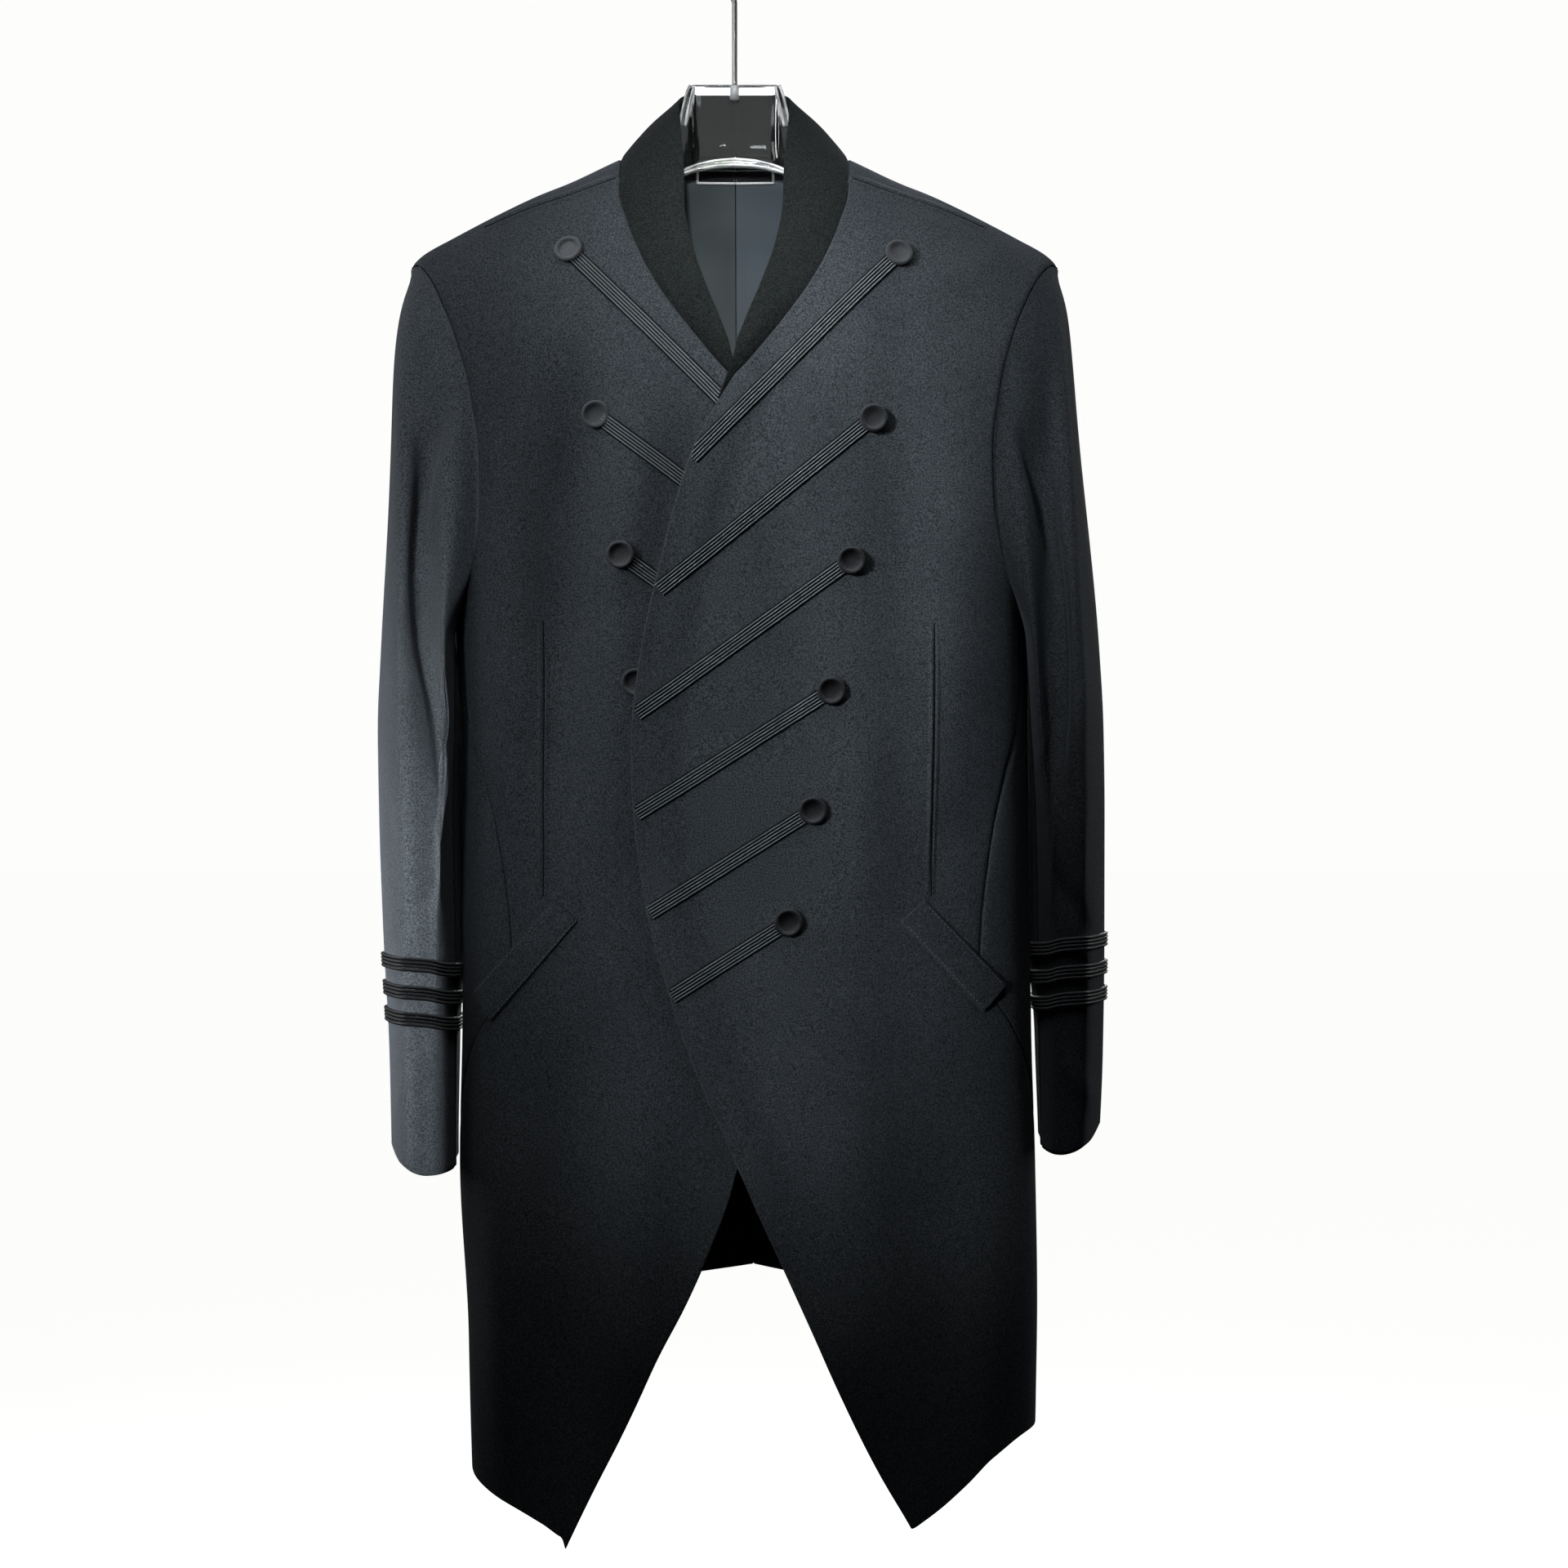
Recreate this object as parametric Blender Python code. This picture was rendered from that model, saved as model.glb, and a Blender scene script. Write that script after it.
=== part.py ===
# A wool tailcoat on its hanger: cloth walls, braid, buttons, back lining, clear hanger and steel hook.
# Sizes are in millimetres and are turned into metres as each mesh is made.
# X runs to the coat's own left, -Y to its front, +Z up. The origin is inside the top of the hanger's hook.

import functools
import math

import bmesh
import bpy
from mathutils import Vector
from mathutils.bvhtree import BVHTree

MM = 0.001
WOOL = 2.0          # wall of the outer cloth
SATIN = 1.0         # wall of the back lining
SEAM = 0.25         # each piece stops this far short of its seam line
SQUARENESS = 2.6    # how boxy the coat's plan section is
SHOULDER_ROUND = 150.0   # height over which front and back close towards the shoulder seam
SHOULDER_REFERENCE = 262.0   # half width at which the shoulder line is read

# One row a height: middle of the coat, half width, depth to the front and to the back.
BODY_COLUMNS = ("z", "centre", "half_width", "front", "back")
BODY_SECTIONS = [
    (-1180, 14, 201, 74, 66),
    (-1028, 14, 205, 77, 72),
    (-900, 10, 209, 79, 76),
    (-800, 9, 207, 79, 78),
    (-640, 8, 206, 79, 78),
    (-515, 5, 208, 82, 80),
    (-430, 3, 220, 83, 82),
    (-350, 1, 238, 83, 80),
    (-260, 0, 258, 80, 74),
    (-140, 0, 272, 74, 66),
]

SHOULDER_COLUMNS = ("x", "z")
SHOULDER_LINE = [(0, -140), (60, -163), (83, -173), (117, -189), (141, -198.5), (168, -211), (205, -229.5),
                 (227, -241), (237, -249), (262, -272)]

# Neck seam from the shoulder seam down the front, and from the middle of the back out to the shoulder seam.
NECK_FRONT = [(83, -173), (84, -186), (82, -206), (76, -226), (63, -257), (47, -283), (26, -310), (4, -336), (-10, -356)]
NECK_BACK = [(0, -167), (20, -167.5), (42, -169), (62, -171), (83, -173)]
NECK_FRONT_STEPS = 8
NECK_BACK_STEPS = 5

# Free edges of the two fronts, from the end of the neck seam to the point of the skirt.
EDGE_COLUMNS = ("z", "x")
LEFT_EDGE = [(-356, -10), (-397, -31), (-447, -45), (-501, -58), (-547, -66), (-604, -71), (-651, -69), (-714, -61),
             (-772, -46), (-823, -29), (-881, -4), (-954, 28), (-1009, 53), (-1063, 77), (-1110, 100), (-1157, 127)]
RIGHT_EDGE = [(-356, 10), (-421, 42), (-501, 62), (-547, 70), (-604, 74), (-662, 71), (-733, 61), (-804, 41),
              (-841, 27), (-881, 9), (-903, 3), (-930, -5), (-960, -17), (-994, -32), (-1024, -48), (-1061, -65),
              (-1114, -91), (-1147, -108), (-1173, -120)]
EDGE_STEPS = 22

# Armhole seam seen from the front and from the back, from the shoulder tip down to the side panel.
ARMHOLE_FRONT = [(237, -249), (222, -259), (210, -281), (200, -306), (193, -330), (188, -355), (183.5, -391),
                 (184, -425), (189, -460), (196, -488), (202, -506)]
ARMHOLE_BACK = [(237, -249), (226, -262), (218, -290), (211, -325), (206, -370), (203, -420), (201, -465), (202, -503)]
ARMHOLE_STEPS = 8
ARMPIT_HEIGHT = -517.0
ARMPIT_STEPS = 2     # each way from the lowest point of the armhole
SHOULDER_STEPS = 5
SIDE_WIDE = 2 * ARMPIT_STEPS
FRONT_SHARES = (0, 0.05, 0.11, 0.18, 0.26, 0.36, 0.47, 0.58, 0.69, 0.8, 0.9, 1)   # columns of a front, closer at its edge

# Seams of the side panel as turns round the coat: 0 at the front, 90 at the side, 180 at the back.
SEAM_COLUMNS = ("z", "turn")
FRONT_SEAM = [(-566, 68), (-622, 58), (-676, 52), (-730, 49), (-762, 48.3), (-806, 62), (-849, 76), (-882, 87),
              (-930, 90), (-1150, 90)]
BACK_SEAM = [(-600, 113), (-700, 117), (-850, 120), (-1150, 122)]

# Hem heights round the coat: short behind, falling to a point at each front.
HEM_COLUMNS = ("turn", "right", "left")
HEM = [
    (32, -1173, -1157),
    (38, -1166, -1143),
    (44, -1155, -1128),
    (52, -1145, -1110),
    (65, -1135, -1096),
    (80, -1122, -1088),
    (90, -1112, -1080),
    (110, -1085, -1062),
    (135, -1040, -1030),
    (160, -998, -1002),
    (180, -986, -986),
]

# The left front laps over the right: lift of its face, by the distance from its edge.
LAP_LIFT = 8.0
LAP_EDGE = (14.0, 40.0)
LAP_REST = 3.2
LAP_END = (86.0, 128.0)
LAP_TOP = (-215.0, -285.0)
LAP_FOOT = (-915.0, -985.0)

# Free edge of the standing band collar, from its front end to the middle of the back, left side.
COLLAR_COLUMNS = ("share", "x", "y", "z")
COLLAR_EDGE = [
    (0.00, 3, -82, -313),
    (0.12, 11, -81, -292),
    (0.24, 21, -77, -268),
    (0.36, 30, -67, -240),
    (0.46, 35, -56, -212),
    (0.55, 36, -41, -182),
    (0.64, 39, -22, -150),
    (0.72, 41, -2, -130),
    (0.80, 37, 15, -122),
    (0.90, 22, 30, -118),
    (1.00, 0, 35, -117),
]
COLLAR_ROWS = 4
COLLAR_ROLL = 3.0

# Sleeve sections, right sleeve: outer side, fold and front lobe seen from the front, then depths.
SLEEVE_COLUMNS = ("z", "outer", "fold", "inner", "lobe_y", "fold_y", "outer_y", "back_y")
RIGHT_SLEEVE = [
    (-252, 239, 235, 230, -12, -11, -9, 9),
    (-280, 245.5, 231, 205, -41, -28, -26, 34),
    (-320, 249, 227, 190, -60, -38, -42, 56),
    (-380, 250, 225, 184, -68, -38, -52, 68),
    (-440, 252, 222, 187, -70, -42, -58, 74),
    (-517, 256, 217, 196, -70, -46, -66, 78),
    (-580, 258, 211, 200, -66, -52, -70, 77),
    (-650, 257, 212, 205, -60, -60, -70, 74),
    (-740, 254, 216, 202, -56, -63, -67, 69),
    (-820, 250, 218, 199, -52, -62, -64, 65),
    (-915, 248, 218, 198, -50, -60, -62, 62),
]
LEFT_SLEEVE = [
    (-252, 239, 235, 230, -12, -11, -9, 9),
    (-280, 244.5, 230, 206, -41, -28, -26, 34),
    (-320, 247, 226, 194, -60, -38, -42, 56),
    (-380, 251, 226, 188, -68, -38, -52, 68),
    (-440, 257, 226, 192, -70, -42, -58, 74),
    (-517, 264, 225, 203, -70, -46, -66, 78),
    (-580, 267, 226, 211, -66, -52, -70, 77),
    (-650, 268, 230, 218, -60, -60, -70, 74),
    (-740, 268, 234, 221, -56, -63, -67, 69),
    (-820, 267, 234, 219, -52, -62, -64, 65),
    (-915, 263, 232, 219, -50, -60, -62, 62),
]
SLEEVE_SIDES = 20       # columns round a sleeve: 0 at the inner side, a quarter of the way at the front
CAP_ROWS = 7
CAP_FOOT = 14.0         # the cap's last row lies this far under the armpit
CAP_CROWD = 1.3         # how much closer together the cap's rows are at the armhole
CAP_SPREAD = 0.55       # how fast the cap's columns spread out to the sleeve's own
ARM_ROWS = 12
UNDER_SHARE = 2         # columns of the under sleeve each way from the inner side
UNDERARM_GAP = 1.6      # sleeve and side panel lie this far apart at the foot of the armhole
SLEEVE_SEAM = 0.4
SLEEVE_CLEAR = 4.0      # the hanging sleeve stays this far off the body's side
CUFF_COLUMNS = ("share", "z")
CUFF_LINE = [(0.0, -901), (0.15, -906), (0.3, -907), (0.42, -899), (0.5, -889), (0.6, -889), (0.8, -893), (1.0, -901)]
LEFT_CUFF_RISE = 15.0
CUFF_BRAID_HEIGHTS = (-762.0, -782.0, -801.0)
CUFF_BRAID_TILT = 8.0    # the outer side of a band lies this much higher
LEFT_BRAID_RISE = 15.0

BRAID_WIDTH = 10.0
BRAID_THICK = 1.5
BRAID_GAP = 0.7
BRAID_STEPS = 12
SHANK_RADIUS = 3.6
BUTTON_PROFILE = [(0.0, 0.4), (SHANK_RADIUS, 0.4), (SHANK_RADIUS, 3.0), (8.6, 3.0), (10.0, 3.9), (9.2, 5.3),
                  (7.6, 5.1), (6.2, 4.2), (0.0, 3.8)]
BUTTON_SIDES = 14

# Buttons and the lower ends of their braids, seen from the front: button x and z, end x and z.
LEFT_FROGS = [
    (117, -250, -29, -397),
    (99, -368, -51.5, -490),
    (83, -469, -66.5, -577),
    (69, -561, -67, -648),
    (56, -646, -58, -718),
    (39, -725, -43, -777),
]
RIGHT_FROGS = [
    (-117, -247, -6, -357),
    (-98, -365, -29, -416),
    (-79, -465, -48, -487.5),
]
HALF_HIDDEN_BUTTON = (-69, -555)

# Corners of the pocket welts seen from the front: x and z of the upper and lower edge at the near and far end.
WELT_COLUMNS = ("side", "near_top", "near_foot", "far_top", "far_foot")
WELTS = [
    (1, (135.8, -710.0), (118.9, -724.4), (193.8, -770.8), (178.0, -789.0)),
    (-1, (-126.4, -710.0), (-110.7, -724.4), (-186.0, -776.0), (-172.8, -796.0)),
]
WELT_THICK = 1.8
WELT_GAP = 1.3
WELT_STEPS = (20, 5)     # along and across

# The lining follows the back panel: rows as shares of its height, and how many of its columns.
LINING_ROWS = [0.012, 1 / 30, 2 / 30, 0.1] + [k / 30 for k in range(5, 29, 2)] + [0.976]
LINING_WIDE = 4
LINING_GAP = 0.9
LINING_NECK_GAP = 2.6

HANGER_COLUMNS = ("x", "top", "foot", "half_thick")
HANGER_SECTIONS = [
    (0, -117, -176, 4),
    (30, -117, -177.5, 4),
    (35, -122, -179, 4),
    (40, -147, -182, 4.5),
    (56, -166, -190, 6),
    (84, -177.2, -206, 8),
    (117, -193.0, -220, 8),
    (141, -202.5, -228, 8),
    (168, -215.0, -238, 8),
    (192, -227.4, -246, 7),
    (198, -232, -243, 4),
]
HANGER_POINTS = 12
HOOK_WIRE = 4.0
HOOK_RADIUS = 22.0
HOOK_STEM = [(0, -90), (0, -58), (-3.0, -51), (-9.5, -45)]   # x and z above the hanger
HOOK_BOW = (222, -9, 15)     # degrees where the bow starts and ends, and its points
HOOK_SIDES = 8
LABEL_WIDTH = 60.0
LABEL_HEIGHT = 9.0
LABEL_TOP = -170.5
LABEL_THICK = 1.0
LABEL_GAP = 0.8

# What lies on a panel is found by looking back at its faces from this far out, within this much of the smooth surface.
LAID_FROM = 40.0
LAID_WITHIN = 8.0
FACES = {}           # the faces of each side's front and side panel, filled as they are made

COLOURS = {
    "wool": ((0.022, 0.024, 0.028), 0.95, 0.0),
    "braid": ((0.035, 0.037, 0.042), 0.5, 0.0),
    "button": ((0.03, 0.031, 0.034), 0.55, 0.0),
    "lining": ((0.06, 0.075, 0.09), 0.35, 0.0),
    "clear_plastic": ((0.75, 0.77, 0.78), 0.1, 0.0),
    "steel": ((0.6, 0.6, 0.6), 0.25, 1.0),
    "label": ((0.03, 0.03, 0.035), 0.5, 0.0),
}


def clear_scene():
    for item in list(bpy.data.objects):
        bpy.data.objects.remove(item, do_unlink=True)


def material(name):
    found = bpy.data.materials.get(name)
    if found:
        return found
    colour, roughness, metallic = COLOURS[name]
    made = bpy.data.materials.new(name)
    made.use_nodes = True
    shader = made.node_tree.nodes["Principled BSDF"]
    shader.inputs["Base Color"].default_value = (*colour, 1.0)
    shader.inputs["Roughness"].default_value = roughness
    shader.inputs["Metallic"].default_value = metallic
    return made


def smooth_step(start, end, value):
    share = min(max((value - start) / (end - start), 0.0), 1.0)
    return share * share * (3 - 2 * share)


def smooth_value(keys, values, at):
    # A smooth curve through the rows that never overshoots them.
    if keys[0] > keys[-1]:
        keys, values = keys[::-1], values[::-1]
    if at <= keys[0]:
        return values[0]
    if at >= keys[-1]:
        return values[-1]
    steps = [b - a for a, b in zip(keys, keys[1:])]
    slopes = [(b - a) / step for a, b, step in zip(values, values[1:], steps)]

    def tangent(i):
        if i == 0:
            return slopes[0]
        if i == len(keys) - 1:
            return slopes[-1]
        before, after = slopes[i - 1], slopes[i]
        return 0.0 if before * after <= 0 else 2 * before * after / (before + after)

    i = max(k for k in range(len(steps)) if keys[k] <= at)
    t = (at - keys[i]) / steps[i]
    h = steps[i]
    rise = values[i] * (2 * t**3 - 3 * t**2 + 1) + values[i + 1] * (3 * t**2 - 2 * t**3)
    return rise + h * (tangent(i) * (t**3 - 2 * t**2 + t) + tangent(i + 1) * (t**3 - t**2))


def read(rows, columns, key, wanted, at):
    k, w = columns.index(key), columns.index(wanted)
    return smooth_value([row[k] for row in rows], [row[w] for row in rows], at)


def body(name, z):
    return read(BODY_SECTIONS, BODY_COLUMNS, "z", name, z)


def shoulder_height(x):
    return read(SHOULDER_LINE, SHOULDER_COLUMNS, "x", "z", abs(x))


def plan_scale(turn):
    return (abs(math.sin(turn)) ** SQUARENESS + abs(math.cos(turn)) ** SQUARENESS) ** (1 / SQUARENESS)


def ridge_height(turn):
    return shoulder_height(SHOULDER_REFERENCE * math.sin(turn) / plan_scale(turn))


def drop_of(over):
    # Fall below the shoulder line for an angle over the rounded shoulder.
    quarter = math.pi / 2
    if over < quarter:
        return SHOULDER_ROUND * (1 - math.cos(over))
    return SHOULDER_ROUND * (1 + over - quarter)


def over_of(drop):
    if drop < SHOULDER_ROUND:
        return math.acos(1 - max(drop, 0.0) / SHOULDER_ROUND)
    return math.pi / 2 + drop / SHOULDER_ROUND - 1


def body_point(turn, over):
    # turn is signed: positive on the coat's left. over is 0 on the shoulder seam.
    z = ridge_height(turn) - drop_of(over)
    closing = math.sin(min(over, math.pi / 2))
    forward = math.cos(turn) / plan_scale(turn)
    depth = body("front", z) if forward > 0 else body("back", z)
    x = body("centre", z) + body("half_width", z) * math.sin(turn) / plan_scale(turn)
    return Vector((x, -depth * forward * closing, z))


def body_normal(turn, over):
    step = 0.004
    start = max(over - step, 0.0)
    across = body_point(turn + step, over) - body_point(turn - step, over)
    down = body_point(turn, over + step) - body_point(turn, start)
    normal = across.cross(down).normalized()
    point = body_point(turn, over)
    middle = Vector((body("centre", point.z), 0.0, point.z - 60.0))
    return normal if normal.dot(point - middle) > 0 else -normal


def spot(x, z, behind=False):
    # Turn and angle over the shoulder of a place given by its front or back view.
    share = (x - body("centre", z)) / body("half_width", z)
    power = min(abs(share), 0.9999) ** SQUARENESS
    turn = math.atan((power / (1 - power)) ** (1 / SQUARENESS))
    if behind:
        turn = math.pi - turn
    return math.copysign(turn, share), over_of(ridge_height(turn) - z)


def spot_at_turn(turn, z):
    return turn, over_of(ridge_height(turn) - z)


def lap_lift(point):
    # Lift of the left front, which lies over the right one.
    edge = read(LEFT_EDGE, EDGE_COLUMNS, "z", "x", point.z)
    inside = point.x - edge
    lift = LAP_LIFT + (LAP_REST - LAP_LIFT) * smooth_step(*LAP_EDGE, inside)
    lift *= 1 - smooth_step(*LAP_END, point.x)
    return lift * smooth_step(*LAP_TOP, point.z) * (1 - smooth_step(*LAP_FOOT, point.z))


def surface(place, side, lift=0.0):
    # Point and normal on a front, side or back; the left front carries its lap.
    point = body_point(*place)
    normal = body_normal(*place)
    if side > 0 and abs(place[0]) < math.pi / 2:
        lift = lift + lap_lift(point)
    return point + normal * lift, normal


def along(points, steps):
    # Evenly spaced places on a smooth line through hand-set points.
    reach = [0.0]
    for a, b in zip(points, points[1:]):
        reach.append(reach[-1] + math.dist(a, b))
    found = []
    for i in range(steps + 1):
        at = reach[-1] * i / steps
        found.append(tuple(smooth_value(reach, [p[k] for p in points], at) for k in range(len(points[0]))))
    return found


def even_shares(steps):
    return [i / steps for i in range(steps + 1)]


def neck_front(side):
    places = [spot(side * x, z) for x, z in along(NECK_FRONT, NECK_FRONT_STEPS)]
    return [(places[0][0], 0.0)] + places[1:]


def neck_back(side):
    places = [spot(side * max(x, 0.01), z, True) for x, z in along(NECK_BACK, NECK_BACK_STEPS)]
    meeting = neck_front(side)[0][0]
    return places[:-1] + [(math.copysign(math.pi, meeting) - meeting, 0.0)]


def hem_height(side, turn):
    return read(HEM, HEM_COLUMNS, "turn", "left" if side > 0 else "right", math.degrees(abs(turn)))


def front_edge(side):
    table = LEFT_EDGE if side > 0 else RIGHT_EDGE
    line = along([(x, z) for z, x in table], EDGE_STEPS)
    return [spot(x, z) for x, z in line]


@functools.lru_cache(maxsize=None)
def armhole(side, behind):
    table = ARMHOLE_BACK if behind else ARMHOLE_FRONT
    line = along(table, ARMHOLE_STEPS)
    places = [spot(side * x + body("centre", z), z, behind) for x, z in line]
    tip = spot(side * line[0][0], line[0][1])[0]
    return [(math.copysign(math.pi, tip) - tip if behind else tip, 0.0)] + places[1:]


@functools.lru_cache(maxsize=None)
def armhole_foot(side):
    # The lowest stretch of the armhole, on the side panel, from its front seam to its back seam.
    front, back = armhole(side, False)[-1], armhole(side, True)[-1]
    bottom = (side * math.pi / 2, over_of(ridge_height(math.pi / 2) - ARMPIT_HEIGHT))
    places = []
    for i in range(2 * ARMPIT_STEPS + 1):
        share = i / ARMPIT_STEPS - 1
        end = front if share < 0 else back
        turn = bottom[0] + (end[0] - bottom[0]) * abs(share)
        places.append((turn, bottom[1] + (end[1] - bottom[1]) * share * share))
    return places


def side_seam(side, behind):
    top = armhole(side, behind)[-1]
    top_point = body_point(*top)
    table = BACK_SEAM if behind else FRONT_SEAM
    rows = [(top_point.z, math.degrees(abs(top[0])))] + list(table)
    foot_turn = rows[-1][1]
    foot = hem_height(side, math.radians(foot_turn))
    rows = [row for row in rows if row[0] > foot + 8] + [(foot, foot_turn)]
    line = along([(turn * 3.0, z) for z, turn in rows], EDGE_STEPS)
    places = [spot_at_turn(side * math.radians(turn / 3.0), z) for turn, z in line]
    places[0] = top
    return places


def middle_back(side):
    top = neck_back(side)[0]
    start, end = body_point(*top).z, hem_height(side, math.pi)
    turn = top[0]
    count = ARMHOLE_STEPS + EDGE_STEPS
    return [spot_at_turn(turn, start + (end - start) * i / count) for i in range(count + 1)]


def hem_line(side, start, end, shares):
    # start and end are places on the hem.
    turns = [start[0] + (end[0] - start[0]) * share for share in shares]
    places = [spot_at_turn(turn, hem_height(side, turn)) for turn in turns]
    places[0], places[-1] = start, end
    return places


def shoulder_seam(side, behind, shares):
    start = (neck_back(side) if behind else neck_front(side))[-1 if behind else 0]
    end = armhole(side, behind)[0]
    return [(start[0] + (end[0] - start[0]) * share, 0.0) for share in shares]


def patch(top, bottom, left, right, shares=None):
    # Places inside four boundary lines, row by row from the top.
    wide, tall = len(top) - 1, len(left) - 1
    shares = shares or [i / wide for i in range(wide + 1)]
    rows = []
    for j in range(tall + 1):
        v = j / tall
        row = []
        for i, u in enumerate(shares):
            place = []
            for k in (0, 1):
                sides = (1 - u) * left[j][k] + u * right[j][k] + (1 - v) * top[i][k] + v * bottom[i][k]
                corners = (1 - u) * (1 - v) * left[0][k] + u * (1 - v) * right[0][k]
                corners += (1 - u) * v * left[-1][k] + u * v * right[-1][k]
                place.append(sides - corners)
            row.append(tuple(place))
        rows.append(row)
    return rows


def pull_in(grid, gap=SEAM, edges=("top", "foot", "first", "last")):
    # Draws a piece's rim back from its seams.
    moved = [list(row) for row in grid]
    tall, wide = len(grid) - 1, len(grid[0]) - 1

    def shift(j, i, toward_j, toward_i):
        way = grid[toward_j][toward_i] - grid[j][i]
        if way.length > 1e-6:
            moved[j][i] = moved[j][i] + way.normalized() * gap

    for i in range(wide + 1):
        if "top" in edges:
            shift(0, i, 1, i)
        if "foot" in edges:
            shift(tall, i, tall - 1, i)
    for j in range(tall + 1):
        if "first" in edges:
            shift(j, 0, j, 1)
        if "last" in edges:
            shift(j, wide, j, wide - 1)
    return moved


def make_object(name, points, faces, finish):
    mesh = bpy.data.meshes.new(name)
    mesh.from_pydata([tuple(p * MM) for p in points], [], faces)
    shape = bmesh.new()
    shape.from_mesh(mesh)
    bmesh.ops.recalc_face_normals(shape, faces=shape.faces)
    bmesh.ops.triangulate(shape, faces=shape.faces)
    shape.to_mesh(mesh)
    shape.free()
    mesh.shade_smooth()
    mesh.materials.append(material(finish))
    item = bpy.data.objects.new(name, mesh)
    bpy.context.scene.collection.objects.link(item)
    return item


def wall(name, grid, inside, finish):
    # A closed wall between a grid of outer points and the matching inner points.
    tall, wide = len(grid), len(grid[0])
    points = [p for row in grid for p in row] + [p for row in inside for p in row]
    half = tall * wide

    def at(j, i, back=False):
        return j * wide + i + (half if back else 0)

    faces = []
    for j in range(tall - 1):
        for i in range(wide - 1):
            for back in (False, True):
                a, b, c, d = (at(j + y, i + x, back) for y, x in ((0, 0), (0, 1), (1, 1), (1, 0)))
                faces += [(a, c, b), (a, d, c)] if back else [(a, b, c), (a, c, d)]
    # The rims are split the same way on both sides of a seam, so that twisted rims keep their gap.
    for i in range(wide - 1):
        for j in (0, tall - 1):
            faces.append((at(j, i), at(j, i + 1, True), at(j, i + 1)))
            faces.append((at(j, i), at(j, i, True), at(j, i + 1, True)))
    for j in range(tall - 1):
        for i in (0, wide - 1):
            faces.append((at(j, i), at(j + 1, i), at(j + 1, i, True)))
            faces.append((at(j, i), at(j + 1, i, True), at(j, i, True)))
    return make_object(name, points, faces, finish)


def ring_tube(name, outer, inner, finish):
    # A closed band from two rows of points outside and two inside, all the way round.
    count = len(outer[0])
    loops = [outer[0], outer[1], inner[1], inner[0]]
    points = [p for loop in loops for p in loop]
    faces = []
    for k in range(4):
        for i in range(count):
            a, b = k * count + i, k * count + (i + 1) % count
            c, d = ((k + 1) % 4) * count + (i + 1) % count, ((k + 1) % 4) * count + i
            faces.append((a, b, c, d))
    return make_object(name, points, faces, finish)


def grid_normals(grid, middle_of):
    # Outward directions of a grid, away from a middle point given for each row.
    tall, wide = len(grid), len(grid[0])
    found = []
    for j in range(tall):
        row = []
        for i in range(wide):
            across = grid[j][min(i + 1, wide - 1)] - grid[j][max(i - 1, 0)]
            down = grid[min(j + 1, tall - 1)][i] - grid[max(j - 1, 0)][i]
            normal = across.cross(down).normalized()
            if normal.dot(grid[j][i] - middle_of(j, i)) < 0:
                normal = -normal
            row.append(normal)
        found.append(row)
    return found


def body_wall(name, places, side):
    made = [[surface(place, side) for place in row] for row in places]
    outer = pull_in([[p for p, n in row] for row in made])
    inner = [[p - n * WOOL for p, (q, n) in zip(row, pairs)] for row, pairs in zip(outer, made)]
    wall(name, outer, inner, "wool")
    return outer


def face_tree(grids):
    # The outer faces of a front and its side panel, to lay braid, buttons and pockets on.
    points, faces = [], []
    for grid in grids:
        start, wide = len(points), len(grid[0])
        points += [point for row in grid for point in row]
        for j in range(len(grid) - 1):
            for i in range(wide - 1):
                a = start + j * wide + i
                faces += [(a, a + 1, a + wide + 1), (a, a + wide + 1, a + wide)]
    return BVHTree.FromPolygons(points, faces)


def laid(place, side):
    # Point of the made panel under a place, with the smooth direction out of the cloth there.
    point, normal = surface(place, side)
    hit = FACES[side].ray_cast(point + normal * LAID_FROM, -normal)[0]
    return (hit if hit is not None and (hit - point).length < LAID_WITHIN else point), normal


def back_places(side):
    seam = armhole(side, True) + side_seam(side, True)[1:]
    middle = middle_back(side)
    # The neck seam is part of the top line: it is split evenly with the shoulder seam.
    neck = neck_back(side)
    shoulder = shoulder_seam(side, True, even_shares(SHOULDER_STEPS))
    top = neck + shoulder[1:]
    bottom = hem_line(side, middle[-1], seam[-1], even_shares(len(top) - 1))
    return patch(top, bottom, middle, seam)


def make_body(side, tag):
    front_seam, back_seam = side_seam(side, False), side_seam(side, True)
    inner = neck_front(side) + front_edge(side)[1:]
    outer = armhole(side, False) + front_seam[1:]
    top = shoulder_seam(side, False, FRONT_SHARES)
    bottom = hem_line(side, inner[-1], outer[-1], FRONT_SHARES)
    front = body_wall("front_" + tag, patch(top, bottom, inner, outer, FRONT_SHARES), side)
    foot = hem_line(side, front_seam[-1], back_seam[-1], even_shares(SIDE_WIDE))
    flank = body_wall("side_" + tag, patch(armhole_foot(side), foot, front_seam, back_seam), side)
    body_wall("back_" + tag, back_places(side), side)
    FACES[side] = face_tree([front, flank])


def make_lining(side, tag):
    # The lining follows the rows of the back panel, a little further in at the neck.
    places = back_places(side)
    tall = len(places) - 1
    outer, inner = [], []
    for at in LINING_ROWS:
        at = at * tall
        j = min(int(at), tall - 1)
        part = at - j
        gap = WOOL + LINING_GAP + (LINING_NECK_GAP - LINING_GAP) * (1 - smooth_step(0.0, 0.12, at / tall))
        row = []
        for i in range(LINING_WIDE + 1):
            above, below = places[j][i], places[j + 1][i]
            place = tuple(above[k] + (below[k] - above[k]) * part for k in (0, 1))
            row.append(surface(place, side))
        outer.append([p - n * gap for p, n in row])
        inner.append([p - n * (gap + SATIN) for p, n in row])
    outer = pull_in(outer, edges=("first",))
    inner = pull_in(inner, edges=("first",))
    wall("lining_" + tag, outer, inner, "lining")


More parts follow.
